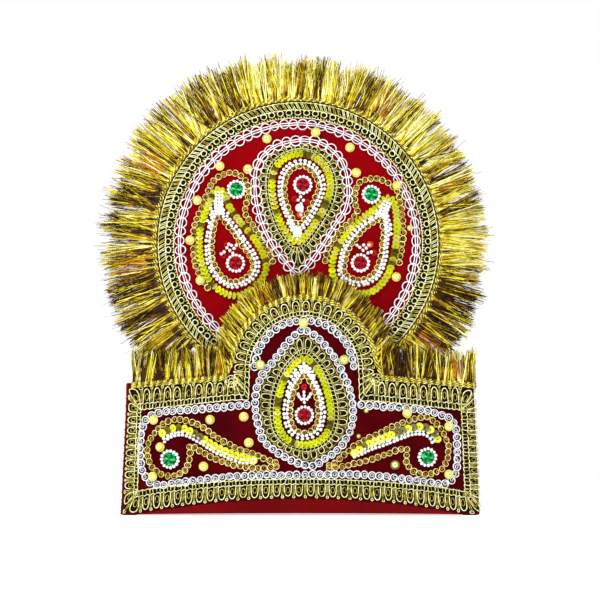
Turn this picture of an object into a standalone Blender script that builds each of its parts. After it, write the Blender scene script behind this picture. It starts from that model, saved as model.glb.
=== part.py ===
"""Costume crown: a velvet-covered band with an arched front, and a round halo standing behind it.

The front panel is bowed like the front of a head band, and the rear band closes the loop behind it.
The halo is a board disc with the same bow, sewn behind the arch and leaning back a little.
Net lace, tinsel fringe, silver loop trim, gold coil, sequins, beads and stones are sewn on their faces.

Sizes are in millimetres and MM turns them into metres. +Z is up and the front faces -Y.
Tables give x and z as seen from the front. w is the height above a face that a trim sits on.
"""

import math

import bmesh
import bpy

MM = 0.001

# the loop of the band, seen from above: a shallow front arc, two corner arcs and a rear arc
FRONT_RADIUS = 385.0
FRONT_HALF_ANGLE = math.radians(17.5)
CORNER_RADIUS = 12.0
REAR_HALF_ANGLE = math.radians(65.0)
FLARE = 0.00034  # how much wider the loop is for each millimetre further down
FLARE_HEIGHT = 46.0  # where the loop has its nominal width
WALL = 3.0
SEAT = 0.3  # gap between pieces that touch
MIDDLE_DEPTH = 53.51  # from the front of the panel back to the frame's origin
MIDDLE_X = -4.23

# the front panel
PANEL_END = 131.0  # along the loop from the middle of the front
SEAM = 0.3
CORNER_LIFT = 0.65
ARCH_RISE = 11.0
ARCH_HALF_LENGTH = 116.0
HUMP_X = 2.8
HUMP_Z = 101.0
HUMP_RADIUS = 53.0
SHOULDER_Z = 98.0
SHOULDER_DROP = 5.5
REAR_HEIGHT = 93.0

# the halo
HALO_X = -1.4
HALO_Z = 191.8
HALO_RADIUS = 104.5
HALO_LEAN = math.tan(math.radians(6.0))
HALO_LOW = HALO_Z - HALO_RADIUS

# lace, braid and fringe
LACE_HEIGHT = 1.5
LACE_HEM = 1.3
BAND_LACE_WIDTH = 12.5
HUMP_LACE = (38.3, 48.8)
HALO_LACE = (87.9, 99.9)
HALO_LACE_END = 142.0
HALO_LACE_CELLS = 30
BRAID_WIDTH = 3.2
BRAID_HEIGHT = 2.4
BRAID_INSET = 0.6
HALO_BRAID = (100.4, 104.6)
HALO_FRINGE_END = 135.0
HALO_LOCKS = 37
HALO_FRINGE_TOP = 125.5
HALO_FRINGE_LEFT = 9.0
HALO_FRINGE_RIGHT = 4.0
HALO_FRINGE_GROWTH = 1.6
VALLEY = 4.5
FRINGE_LENGTH = 21.0
HUMP_FRINGE_LENGTH = 15.0
HUMP_FRINGE_LEAN = 42.0
GAP_ALONG = (0.2, 0.8)
GAP_ACROSS = (0.25, 0.75)
DROP_CELLS = 15

# half width and height of each kind of trim
SILVER = (2.9, 1.5)
COIL = (1.4, 2.0)
HALO_SILVER_RADIUS = 83.9
HUMP_SILVER_RADIUS = 34.5
SEQUIN_HALF = 2.8
BEAD_CLEAR = 1.9
BEADING_HEIGHT = 2.6
STATIONS = 24

# stones: (radius, w) of the bead ring and of the cut stone that stands in it
STONE_PROFILE = ((6.8, 0.3), (6.4, 2.5), (5.4, 2.7), (4.9, 2.2), (2.9, 4.1))
STONE_SIDES = 12
PEARL_PROFILE = ((3.1, 0.0), (2.5, 2.1))
DOME_RISE = 1.0
PEARL_SIDES = 10
ON_TRIM = 2.6  # w of a pearl that sits on a trim

# halo drop, point down: silver x z, sequin row x z, gold coil x z
HALO_DROP = (
    (0, 169, -2.5, 191, -1.5, 203),
    (-9.5, 176.5, -8.5, 197.5, -5.5, 209),
    (-19.5, 189, -13.5, 206.5, -8, 214.5),
    (-27.5, 206.5, -17.5, 219.5, -10.5, 223),
    (-31.5, 225, -19, 231.5, -11, 231.5),
    (-30.5, 245, -17, 243.5, -9, 239.5),
    (-19.5, 258.5, -9, 251, -4, 244.5),
    (-0.5, 264, 0.5, 253.5, 0.5, 245.5),
    (16.5, 261, 10, 251, 6, 244),
    (29, 249.5, 17.5, 243.5, 11, 239),
    (34, 232, 20.5, 231.5, 13.5, 230.5),
    (32.5, 216, 17, 218, 10.5, 221.5),
    (23.5, 201.5, 11.5, 208, 6.5, 213.5),
    (13.5, 185.5, 5.5, 199, 3, 208),
)

# band drop, point up: silver x z, sequin row x z, gold coil x z
BAND_DROP = (
    (3, 128.5, 2.5, 109, 3, 98),
    (-8, 120, -5, 103, -1.5, 92.5),
    (-17.5, 108, -10, 94.5, -4.8, 85.5),
    (-26.5, 97, -13.5, 83.5, -6.5, 77.5),
    (-30.8, 83, -15, 72, -7, 70),
    (-29.5, 65.5, -13.5, 60.5, -5.5, 62.5),
    (-22, 48.5, -7, 52.5, -2, 58.5),
    (3, 34.8, 3, 50, 3, 57),
    (16, 38.5, 13, 52.5, 8, 58.5),
    (28.5, 48.5, 19, 60, 11.5, 62.5),
    (36, 63, 20.5, 71, 13, 70),
    (36, 82, 18.5, 83.5, 12.5, 77.5),
    (29, 100, 15, 94.5, 10.5, 85.5),
    (18.5, 117, 9.5, 103.5, 7, 93),
)

# paisleys, from the point round to the right: sequin row x z, gold coil x z
LEFT_PAISLEY = (
    (-57.5, 231.5, -57.5, 210.5),
    (-51, 217, -53, 206),
    (-43, 205.5, -48.5, 200.5),
    (-33.3, 194.5, -41, 189.5),
    (-26.2, 182, -34.8, 180.5),
    (-24.2, 172, -33, 173.5),
    (-31, 161, -37.5, 166.5),
    (-44.5, 153.5, -48, 163),
    (-59.5, 160.5, -57, 169),
    (-67.5, 175, -61.5, 178),
    (-70, 189.5, -62.5, 189),
    (-69, 204, -61.5, 198),
    (-63.5, 219, -60, 206),
)
RIGHT_PAISLEY = (
    (64.5, 224.5, 57, 208.5),
    (67.5, 213.5, 58.5, 203.5),
    (68, 204, 59, 197),
    (67.5, 192.5, 58, 189.5),
    (65, 180.5, 57, 180.5),
    (60.5, 167.5, 52.5, 169.5),
    (50.5, 156.5, 45, 165),
    (36, 156, 37.5, 165),
    (26, 163.5, 31, 169.5),
    (23, 173.5, 31.5, 177.5),
    (26.5, 185.5, 34, 186.5),
    (36, 199, 40, 195),
    (45.5, 208, 46, 201.5),
    (56, 216, 52.5, 206),
)

# the coil round each paisley's green stone and down both of its sides: x z
LEFT_PAISLEY_COIL = (
    (-64, 157.5), (-72.5, 172), (-75.5, 186.5), (-74.5, 204), (-70, 215), (-65.5, 228), (-59, 237.5),
    (-49.5, 241), (-42, 238.7), (-36.8, 231.8), (-36.4, 223.5), (-38.7, 216.5), (-38.3, 209.8),
    (-34.3, 204.5), (-29.8, 197.6), (-25.2, 190), (-21, 182.4), (-19, 175.5),
)
RIGHT_PAISLEY_COIL = (
    (17.5, 176), (20, 186.5), (25.5, 196), (32.5, 203), (38.5, 209.5), (40.5, 215), (38.5, 222),
    (40, 230.5), (45, 235.5), (54, 237), (61.5, 234.5), (67.8, 229.2), (71.3, 220), (73, 204), (72.8, 195),
    (71.6, 184), (69.5, 175.5),
)

# silver round the two flat fields of the band: x z
LEFT_FIELD = (
    (-34.8, 77), (-50, 75.5), (-67, 74), (-84, 73), (-97, 71.5), (-107, 67), (-110.5, 58), (-111.5, 45),
    (-110.5, 33), (-106, 24.5), (-97, 21.2), (-82, 23.2), (-66.5, 24.9), (-45, 27.2), (-20, 28), (0, 28),
)
RIGHT_FIELD = (
    (40.3, 77), (55, 76), (68, 75), (80, 74), (92, 72), (103, 68.5), (108.5, 62), (109.5, 47),
    (109, 33), (106, 25), (99, 21.7), (86, 23.4), (68, 25.8), (50, 27.6), (32, 28.3), (16, 28.2), (1, 28),
)

# the coil that outlines each curl, a round head and a long tail: x z
LEFT_CURL_COIL = (
    (-100, 59), (-94, 64.5), (-86, 67), (-75.5, 64.8), (-66, 60), (-56.5, 53.3), (-47, 48.2), (-36.5, 44),
    (-24, 39.5), (-15, 35.3), (-21, 33), (-33.5, 32.8), (-46, 35), (-58, 39), (-68.5, 44.2), (-76, 48.5),
    (-76.5, 40), (-79.5, 31.5), (-88.5, 27.5), (-99, 30), (-105.5, 38), (-106, 49),
)
RIGHT_CURL_COIL = (
    (18.5, 33.2), (25, 37.4), (31, 42.5), (38.5, 48.6), (48.5, 54), (61, 60), (73.5, 65), (84, 68.2),
    (92, 66.5), (99, 59), (103.3, 49), (102.5, 38.5), (97, 31.2), (88, 28.4), (79, 30.4), (73.8, 37),
    (74.5, 45.5), (68, 45.3), (59, 42), (47.5, 38.3), (36.5, 35.5), (27, 33.4),
)

# the row of sequins along each curl and the row of white beads below it: sequin x z, bead x z
LEFT_CURL = (
    (-97, 56.2, -95.5, 51),
    (-90, 60, -90, 55),
    (-82, 60.8, -82, 56.5),
    (-74, 57.4, -75, 53.8),
    (-66, 52.5, -67, 49.2),
    (-57.5, 47.2, -58.5, 44),
    (-48, 43, -49, 39.8),
    (-38.5, 40, -39.5, 36.8),
    (-30, 37.8, -30, 36.6),
)
RIGHT_CURL = (
    (36, 42.2, 36.3, 40),
    (40.5, 45.2, 41, 42),
    (47, 49.3, 48, 45.5),
    (57, 53.5, 58, 49.3),
    (67, 57.3, 68, 53),
    (76, 60.5, 77, 56.4),
    (85.5, 61.5, 85.5, 57),
    (92.5, 58, 90.5, 54),
    (96.3, 51, 92.5, 49.5),
)

# cut stones: name, x, z, colour
HALO_STONES = (
    ("halo_drop_stone", 2, 232, "ruby"),
    ("left_paisley_green_stone", -45, 229, "emerald"),
    ("left_paisley_red_stone", -45.5, 176.5, "ruby"),
    ("right_paisley_green_stone", 50.5, 225.5, "emerald"),
    ("right_paisley_red_stone", 42.5, 176.5, "ruby"),
)
BAND_STONES = (
    ("band_drop_stone", 3, 69.5, "ruby"),
    ("left_curl_stone", -90.5, 39, "emerald"),
    ("right_curl_stone", 88.5, 40.5, "emerald"),
)

# domed pearls: x, z, w of the base, which is raised where the pearl sits on a trim
HALO_PEARLS = (
    (-57, 246, SEAT),
    (-23.5, 265.3, SEAT),
    (-37, 243.5, SEAT),
    (-72.5, 221.5, ON_TRIM),
    (11, 269.5, ON_TRIM),
    (35.5, 259, SEAT),
    (40, 241, SEAT),
    (68.5, 232, ON_TRIM),
    (68, 167, SEAT),
    (-77.5, 193, ON_TRIM),
)
BAND_PEARLS = (
    (-101.5, 66.5, ON_TRIM),
    (-62.5, 66.5, SEAT),
    (-39, 68.5, SEAT),
    (-97.5, 47.5, SEAT),
    (-35.5, 50.5, SEAT),
    (-67, 34, SEAT),
    (-102, 27, ON_TRIM),
    (-27.5, 104.5, ON_TRIM),
    (2.5, 133.5, ON_TRIM),
    (74, 71, ON_TRIM),
    (103.2, 62, ON_TRIM),
    (66, 35, SEAT),
    (103, 28.5, ON_TRIM),
)

# colour, roughness, metallic
FINISHES = {
    "halo_velvet": ((0.36, 0.0, 0.006), 0.9, 0.0),
    "band_velvet": ((0.13, 0.0, 0.004), 0.9, 0.0),
    "lining": ((0.5, 0.012, 0.016), 0.85, 0.0),
    "gold_lace": ((0.72, 0.6, 0.08), 0.35, 0.6),
    "tinsel": ((0.62, 0.42, 0.05), 0.3, 0.7),
    "silver_trim": ((0.8, 0.79, 0.86), 0.35, 0.5),
    "gold_coil": ((0.72, 0.45, 0.14), 0.3, 0.7),
    "sequin": ((0.82, 0.82, 0.04), 0.25, 0.1),
    "emerald": ((0.0, 0.28, 0.07), 0.08, 0.0),
    "ruby": ((0.4, 0.0, 0.02), 0.08, 0.0),
    "pearl": ((0.86, 0.74, 0.28), 0.25, 0.0),
}


# the two faces that trims sit on

def loop_point(s, z, w):
    """A point of the band, s along the loop from the middle of its front and w out from its outer face."""
    arm = math.copysign(1.0, s)
    s = abs(s)
    corner_start = FRONT_RADIUS * FRONT_HALF_ANGLE
    corner_x = (FRONT_RADIUS - CORNER_RADIUS) * math.sin(FRONT_HALF_ANGLE)
    corner_y = FRONT_RADIUS - (FRONT_RADIUS - CORNER_RADIUS) * math.cos(FRONT_HALF_ANGLE)
    corner_stop = corner_start + CORNER_RADIUS * (math.pi - REAR_HALF_ANGLE - FRONT_HALF_ANGLE)
    rear_radius = corner_x / math.sin(REAR_HALF_ANGLE) + CORNER_RADIUS
    rear_y = corner_y + (CORNER_RADIUS - rear_radius) * math.cos(REAR_HALF_ANGLE)
    if s <= corner_start:
        turn, radius, x, y = s / FRONT_RADIUS, FRONT_RADIUS, 0.0, FRONT_RADIUS
    elif s <= corner_stop:
        turn = FRONT_HALF_ANGLE + (s - corner_start) / CORNER_RADIUS
        radius, x, y = CORNER_RADIUS, corner_x, corner_y
    else:
        turn = math.pi - REAR_HALF_ANGLE + (s - corner_stop) / rear_radius
        radius, x, y = rear_radius, 0.0, rear_y
    x += (radius + w) * math.sin(turn)
    y -= (radius + w) * math.cos(turn)
    x *= 1.0 + FLARE * (FLARE_HEIGHT - z)
    return (arm * x, y, z)


def loop_length():
    """Half the way round the loop, from the middle of the front to the middle of the rear."""
    corner_x = (FRONT_RADIUS - CORNER_RADIUS) * math.sin(FRONT_HALF_ANGLE)
    rear_radius = corner_x / math.sin(REAR_HALF_ANGLE) + CORNER_RADIUS
    corner = CORNER_RADIUS * (math.pi - REAR_HALF_ANGLE - FRONT_HALF_ANGLE)
    return FRONT_RADIUS * FRONT_HALF_ANGLE + corner + rear_radius * REAR_HALF_ANGLE


def along(x, z):
    """How far along the loop a point of the front panel is, from its x and z as seen from the front."""
    return FRONT_RADIUS * math.asin(x / (1.0 + FLARE * (FLARE_HEIGHT - z)) / FRONT_RADIUS)


def band_face(x, z, w):
    """A point w above the front panel, at x and z as seen from the front."""
    return loop_point(along(x, z), z, w)


def band_cover(s, z, w):
    """A point w above the panel by its s, a little higher on the tight corners, where facets are long."""
    rise = CORNER_LIFT * min(1.0, max(0.0, (abs(s) - 113.0) / 4.0))
    return loop_point(s, z, w + rise)


def halo_face(x, z, w):
    """A point w above the halo's front face, which has the panel's bow and leans back."""
    radius = FRONT_RADIUS + w - WALL - SEAT
    turn = math.asin(x / FRONT_RADIUS)
    lean = (z - HALO_LOW) * HALO_LEAN
    return (radius * math.sin(turn), FRONT_RADIUS - radius * math.cos(turn) + lean, z)


# plane curves

def smooth(points, per_span, closed):
    """A Catmull-Rom curve through the points, with per_span steps between two of them."""
    count = len(points)
    spans = count if closed else count - 1
    result = []
    for i in range(spans):
        if closed:
            four = [points[(i + k) % count] for k in (-1, 0, 1, 2)]
        else:
            four = [points[min(max(i + k, 0), count - 1)] for k in (-1, 0, 1, 2)]
        for step in range(per_span):
            t = step / per_span
            result.append(tuple(
                0.5 * (2 * b + (c - a) * t + (2 * a - 5 * b + 4 * c - d) * t * t
                       + (3 * b - a - 3 * c + d) * t ** 3)
                for a, b, c, d in zip(*four)
            ))
    if not closed:
        result.append(tuple(points[-1]))
    return result


def even(points, count, closed):
    """The same line with count equal steps."""
    line = list(points) + ([points[0]] if closed else [])
    reach = [0.0]
    for a, b in zip(line, line[1:]):
        reach.append(reach[-1] + math.dist(a, b))
    result = []
    k = 0
    for i in range(count if closed else count + 1):
        goal = reach[-1] * i / count
        while k < len(line) - 2 and reach[k + 1] < goal:
            k += 1
        span = reach[k + 1] - reach[k]
        t = (goal - reach[k]) / span if span else 0.0
        result.append(tuple(p + (q - p) * t for p, q in zip(line[k], line[k + 1])))
    return result


def sides(points, closed):
    """The mitre to the right of the way along, at each point of a line, for an offset of one."""
    count = len(points)
    result = []
    for i in range(count):
        normals = []
        for j in (i - 1, i):
            if closed or 0 <= j < count - 1:
                a, b = points[j % count], points[(j + 1) % count]
                length = math.dist(a, b)
                normals.append(((b[1] - a[1]) / length, (a[0] - b[0]) / length))
        x = sum(n[0] for n in normals)
        z = sum(n[1] for n in normals)
        length = math.hypot(x, z)
        x, z = x / length, z / length
        stretch = 1.0 / max(0.55, x * normals[0][0] + z * normals[0][1])
        result.append((x * stretch, z * stretch))
    return result


def shifted(points, distance, closed=True):
    """The line moved sideways, outward for a loop that runs anticlockwise."""
    return [(p[0] + n[0] * distance, p[1] + n[1] * distance)
            for p, n in zip(points, sides(points, closed))]


def is_anticlockwise(points):
    area = 0.0
    for a, b in zip(points, points[1:] + points[:1]):
        area += a[0] * b[1] - b[0] * a[1]
    return area > 0


def column(rows, first, per_row):
    """One line of a table, smoothed, as a loop that runs anticlockwise from the first row."""
    line = smooth([(r[first], r[first + 1]) for r in rows], per_row, True)
    if not is_anticlockwise(line):
        line = [line[0]] + line[:0:-1]
    return line


def picked(line, count):
    """count points of a line at equal steps of its numbering, so that two lines keep together."""
    total = len(line)
    result = []
    for i in range(count):
        at = total * i / count
        k = int(at)
        t = at - k
        a, b = line[k], line[(k + 1) % total]
        result.append((a[0] + (b[0] - a[0]) * t, a[1] + (b[1] - a[1]) * t))
    return result


# solids

def material(finish):
    if finish in bpy.data.materials:
        return bpy.data.materials[finish]
    colour, roughness, metallic = FINISHES[finish]
    made = bpy.data.materials.new(finish)
    made.use_nodes = True
    shader = made.node_tree.nodes["Principled BSDF"]
    shader.inputs["Base Color"].default_value = (*colour, 1.0)
    shader.inputs["Roughness"].default_value = roughness
    shader.inputs["Metallic"].default_value = metallic
    return made


def solid(name, points, faces, finish):
    """A closed mesh object from points in millimetres, its faces turned outward."""
    mesh = bpy.data.meshes.new(name)
    shape = bmesh.new()
    corners = [
        shape.verts.new(((x - MIDDLE_X) * MM, (y - MIDDLE_DEPTH) * MM, z * MM)) for x, y, z in points
    ]
    for face in faces:
        shape.faces.new([corners[i] for i in face])
    bmesh.ops.recalc_face_normals(shape, faces=shape.faces)
    if shape.calc_volume(signed=True) < 0:
        bmesh.ops.reverse_faces(shape, faces=shape.faces)
    shape.to_mesh(mesh)
    shape.free()
    mesh.shade_smooth()
    mesh.set_sharp_from_angle(angle=math.radians(35))
    mesh.materials.append(material(finish))
    made = bpy.data.objects.new(name, mesh)
    bpy.context.scene.collection.objects.link(made)
    return made


def skinned(name, sections, finish, closed):
    """A solid through sections with the same number of points, capped at its ends unless it closes."""
    around = len(sections[0])
    points = [p for section in sections for p in section]
    count = len(sections)
    faces = []
    for i in range(count if closed else count - 1):
        j = (i + 1) % count
        for k in range(around):
            m = (k + 1) % around
            faces.append((i * around + k, i * around + m, j * around + m, j * around + k))
    if not closed:
        faces.append(tuple(range(around)))
        faces.append(tuple((count - 1) * around + k for k in range(around)))
    return solid(name, points, faces, finish)


def trim(name, line, face, size, finish, closed):
    """A strip with a bevelled top along a line on a face."""
    half, height = size
    profile = ((-half, SEAT), (half, SEAT), (0.75 * half, SEAT + height), (-0.75 * half, SEAT + height))
    sections = []
    for p, n in zip(line, sides(line, closed)):
        sections.append([face(p[0] + n[0] * across, p[1] + n[1] * across, w) for across, w in profile])
    return skinned(name, sections, finish, closed)


def two_rows(name, outer, inner, face, finish, closed):
    """Sequins along the outer line and white beads along the inner one, as one ridged strip."""
    top = SEAT + BEADING_HEIGHT
    profile = ((0.0, SEAT), (0.0, top - 0.9), (0.35, top), (1.0, top - 0.5), (1.0, SEAT))
    sections = []
    for a, b in zip(outer, inner):
        sections.append([face(a[0] + (b[0] - a[0]) * t, a[1] + (b[1] - a[1]) * t, w) for t, w in profile])
    return skinned(name, sections, finish, closed)


def lace(name, outer, inner, face, finish, closed, bent=()):
    """Net lace: a ladder of cells between two lines, with a gap cut through each cell.

    A station between two cells is a straight bar, but a bent one follows the face in three parts.
    """
    low, high = SEAT, SEAT + LACE_HEIGHT
    count = len(outer)
    cells = count if closed else count - 1
    points = []

    def add(start, stop, across):
        spot = [start[k] + (stop[k] - start[k]) * across for k in (0, 1)]
        points.extend((face(*spot, low), face(*spot, high)))
        return len(points) - 2

    bars = []
    for i in range(count):
        places = (0.0, *GAP_ACROSS, 1.0) if i in bent else (0.0, 1.0)
        bars.append([add(outer[i], inner[i], across) for across in places])
    faces = []
    for i in range(cells):
        j = (i + 1) % count
        gap = []
        for part in GAP_ALONG:
            a = [outer[i][k] + (outer[j][k] - outer[i][k]) * part for k in (0, 1)]
            b = [inner[i][k] + (inner[j][k] - inner[i][k]) * part for k in (0, 1)]
            gap.append([add(a, b, across) for across in GAP_ACROSS])
        flat = [
            (bars[i][0], bars[j][0], gap[1][0], gap[0][0]),
            (bars[j][-1], bars[i][-1], gap[0][1], gap[1][1]),
        ]
        for bar, hole, turn in ((bars[i], gap[0], 1), (bars[j], gap[1], -1)):
            if len(bar) == 2:
                rings = [(bar[0], hole[0], hole[1], bar[1])]
            else:
                rings = [
                    (bar[0], hole[0], bar[1]),
                    (bar[1], hole[0], hole[1], bar[2]),
                    (bar[2], hole[1], bar[3]),
                ]
            flat += [ring[::turn] for ring in rings]
        for ring in flat:
            faces.append(ring)
            faces.append(tuple(k + 1 for k in reversed(ring)))
        loop = (gap[0][0], gap[1][0], gap[1][1], gap[0][1])
        walls = list(zip(loop, loop[1:] + loop[:1]))
        walls += [(bars[i][0], bars[j][0]), (bars[j][-1], bars[i][-1])]
        for p, q in walls:
            faces.append((p, q, q + 1, p + 1))
    if not closed:
        for bar in (bars[0], bars[-1]):
            faces.append((bar[0], bar[1], bar[1] + 1, bar[0] + 1))
    return solid(name, points, faces, finish)


def fringe(name, stations, face, finish):
    """A braid with locks standing on it. A station is a braid foot, a braid top and the end of the hair."""
    low, high = SEAT, SEAT + BRAID_HEIGHT
    sections = []
    for foot, top, end in stations:
        sections.append([
            face(*foot, low), face(*top, low), face(*end, low + 0.3),
            face(*end, high - 0.6), face(*top, high), face(*foot, high),
        ])
    return skinned(name, sections, finish, False)


def turned(name, x, z, seat, profile, segments, face, finish, table):
    """A round piece on a face: rings of (radius, w), closed by a flat table or by a low point."""
    points = []
    faces = [tuple(range(segments))]
    for radius, w in profile:
        for i in range(segments):
            a = 2 * math.pi * (i + 0.5) / segments
            points.append(face(x + radius * math.cos(a), z + radius * math.sin(a), seat + w))
    for ring in range(len(profile) - 1):
        for i in range(segments):
            j = (i + 1) % segments
            start = ring * segments
            faces.append((start + i, start + j, start + segments + j, start + segments + i))
    last = (len(profile) - 1) * segments
    if table:
        faces.append(tuple(last + i for i in range(segments)))
    else:
        points.append(face(x, z, seat + profile[-1][1] + DOME_RISE))
        faces += [(last + i, last + (i + 1) % segments, len(points) - 1) for i in range(segments)]
    return solid(name, points, faces, finish)


# outlines of the panel, by s along the loop

def panel_bottom(s):
    return max(0.0, ARCH_RISE * (1.0 - (s / ARCH_HALF_LENGTH) ** 2))


def shoulder(s):
    reach = (abs(s - HUMP_X) - HUMP_RADIUS) / (PANEL_END - HUMP_RADIUS)
    return SHOULDER_Z - SHOULDER_DROP * reach


def hump_point(radius, degrees):
    a = math.radians(degrees)
    return (HUMP_X + radius * math.cos(a), HUMP_Z + radius * math.sin(a))


def halo_point(radius, degrees):
    """A point of the halo at an angle from its top, clockwise as seen from the front."""
    a = math.radians(degrees)
    return (HALO_X + radius * math.sin(a), HALO_Z + radius * math.cos(a))


# the velvet-covered boards

def build_front_panel():
    left = [-131, -127.6, -124.4, -121.2, -118, -112, -101, -90, -79, -68, -59]
    right = [64, 73, 82, 91, 101, 112, 118, 121.2, 124.4, 127.6, 131]
    columns = [(s, shoulder(s)) for s in left]
    columns.append((HUMP_X - HUMP_RADIUS - 1.5, SHOULDER_Z))
    for i in range(21):
        x, z = hump_point(HUMP_RADIUS, 180 - 9 * i)
        columns.append((along(x, z), z))
    columns.append((HUMP_X + HUMP_RADIUS + 1.5, SHOULDER_Z))
    columns += [(s, shoulder(s)) for s in right]
    sections = []
    for s, top in columns:
        low = panel_bottom(s)
        sections.append([
            loop_point(s, low, 0.0), loop_point(s, top, 0.0),
            loop_point(s, top, -WALL), loop_point(s, low, -WALL),
        ])
    skinned("front_panel", sections, "band_velvet", False)


def build_rear_band():
    start = PANEL_END + SEAM
    whole = 2 * loop_length()
    near = [start, start + 2.4, start + 4.8, start + 7.2]
    steps = 22
    gap = (whole - 2 * near[-1]) / steps
    places = near[:-1] + [near[-1] + gap * i for i in range(steps + 1)] + [whole - s for s in near[-2::-1]]
    sections = []
    for s in places:
        around = s if s <= whole / 2 else s - whole
        sections.append([
            loop_point(around, 0.0, 0.0), loop_point(around, REAR_HEIGHT, 0.0),
            loop_point(around, REAR_HEIGHT, -WALL), loop_point(around, 0.0, -WALL),
        ])
    skinned("rear_band", sections, "lining", False)


def build_halo_disc():
    sections = []
    steps = 32
    for i in range(1, steps):
        a = math.pi * i / steps
        x = HALO_X - HALO_RADIUS * math.cos(a)
        rise = HALO_RADIUS * math.sin(a)
        sections.append([
            halo_face(x, HALO_Z - rise, 0.0), halo_face(x, HALO_Z + rise, 0.0),
            halo_face(x, HALO_Z + rise, -WALL), halo_face(x, HALO_Z - rise, -WALL),
        ])
    skinned("halo_disc", sections, "halo_velvet", False)


# lace and fringe

def span(a, b, count):
    """count steps from a, without b."""
    return [a + (b - a) * i / count for i in range(count)]


def build_band_lace():
    left_in, right_in, end, bend = -117.0, 115.0, 130.3, 117.5
    below = BRAID_INSET + BRAID_WIDTH + 0.4
    outer, inner, bent = [], [], set()

    def add(a, b):
        if abs(a[0]) > bend - 0.1:
            bent.add(len(outer))
        outer.append(a)
        inner.append(b)

    def hem(s):
        return panel_bottom(s) + LACE_HEM

    # two short cells lie on each corner, and the rest are even
    corner = ((end, 1.0), ((end + bend) / 2, 0.96), (bend, 0.92))
    across = [(-s, left_in * part) for s, part in corner[:2]]
    across += list(zip(span(-bend, bend, 12), span(0.92 * left_in, 0.92 * right_in, 12)))
    across += [(s, right_in * part) for s, part in corner[:0:-1]]
    for s, u in across:
        add((s, hem(s)), (u, hem(u) + BAND_LACE_WIDTH))
    top = shoulder(end) - below
    for t in span(0.0, 1.0, 4):
        add((end, hem(end) + (top - hem(end)) * t),
            (right_in, hem(right_in) + BAND_LACE_WIDTH + (top - hem(end) - 2 * BAND_LACE_WIDTH) * t))
    for arm in (1, -1):
        foot = along(HUMP_X + arm * HUMP_LACE[1], HUMP_Z)
        inside = along(HUMP_X + arm * (HUMP_LACE[0] + 0.6), HUMP_Z)
        far = right_in if arm > 0 else left_in
        steps = [(arm * s, far * part) for s, part in corner[:2]]
        steps += list(zip(span(arm * bend, foot, 4), span(0.92 * far, inside, 4)))
        steps.append((foot, inside))
        hung = [((s, shoulder(s) - below), (u, shoulder(u) - below - BAND_LACE_WIDTH)) for s, u in steps]
        if arm > 0:
            for a, b in hung:
                add(a, b)
            for i in range(11):
                rim = [hump_point(radius, 18 * i) for radius in (HUMP_LACE[1], HUMP_LACE[0])]
                add(*[(along(x, z), z) for x, z in rim])
        else:
            for a, b in hung[:0:-1]:
                add(a, b)
    top = shoulder(-end) - below
    for t in span(0.0, 1.0, 4):
        add((-end, top + (hem(end) - top) * t),
            (left_in, top - BAND_LACE_WIDTH - (top - hem(end) - 2 * BAND_LACE_WIDTH) * t))
    lace("band_lace", outer, inner, band_cover, "gold_lace", True, bent)


def build_halo_lace():
    angles = [-HALO_LACE_END + 2 * HALO_LACE_END * i / HALO_LACE_CELLS for i in range(HALO_LACE_CELLS + 1)]
    outer = [halo_point(HALO_LACE[1], a) for a in angles]
    inner = [halo_point(HALO_LACE[0], a) for a in angles]
    lace("halo_lace", outer, inner, halo_face, "gold_lace", False)


def lock_length(number, length):
    """Locks differ a little, in a pattern that doesn't repeat soon."""
    return length * (1.0 + 0.07 * math.sin(2.4 * number) + 0.05 * math.sin(5.3 * number + 1.0))


def halo_fringe_tip(degrees):
    """The fringe's outer radius, which grows from the top to the sides, more on the left."""
    extra = HALO_FRINGE_RIGHT if degrees > 0.0 else HALO_FRINGE_LEFT
    return HALO_FRINGE_TOP + extra * math.sin(math.radians(min(90.0, HALO_FRINGE_GROWTH * abs(degrees))))


def build_halo_fringe():
    stations = []
    for i in range(2 * HALO_LOCKS + 1):
        angle = -HALO_FRINGE_END + HALO_FRINGE_END * i / HALO_LOCKS
        length = lock_length(i, halo_fringe_tip(angle) - HALO_BRAID[1])
        if i % 2 == 0:
            length -= VALLEY
        stations.append((
            halo_point(HALO_BRAID[0], angle), halo_point(HALO_BRAID[1], angle),
            halo_point(HALO_BRAID[1] + length, angle),
        ))
    fringe("halo_fringe", stations, halo_face, "tinsel")


def build_band_fringe():
    roots = []
    inset = BRAID_INSET + BRAID_WIDTH
    corner = [129.5, 126.5, 123.5, 120.5, 117.5]
    for s in [-s for s in corner] + span(-112.0, HUMP_X - HUMP_RADIUS - 4.0, 9):
        roots.append((s, shoulder(s) - inset, 0.0, 1.0, FRINGE_LENGTH))
    for i in range(29):
        angle = 172 - 164 * i / 28
        lean = math.radians(90 + max(-HUMP_FRINGE_LEAN, min(HUMP_FRINGE_LEAN, angle - 90)))
        x, z = hump_point(HUMP_RADIUS - inset, angle)
        roots.append((along(x, z), z, math.cos(lean), math.sin(lean), HUMP_FRINGE_LENGTH))
    right = span(112.0, HUMP_X + HUMP_RADIUS + 4.0, 9)[::-1]
    for s in right + corner[::-1]:
        roots.append((s, shoulder(s) - inset, 0.0, 1.0, FRINGE_LENGTH))
    stations = []
    for i, (x, z, dx, dz, length) in enumerate(roots):
        grown = lock_length(i, length) - (VALLEY if i % 2 == 0 else 0.0)
        top = (x + dx * BRAID_WIDTH, z + dz * BRAID_WIDTH)
        stations.append(((x, z), top, (top[0] + dx * grown, top[1] + dz * grown)))
    fringe("band_fringe", stations, band_cover, "tinsel")


# silver, coils, sequins and beads

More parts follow.
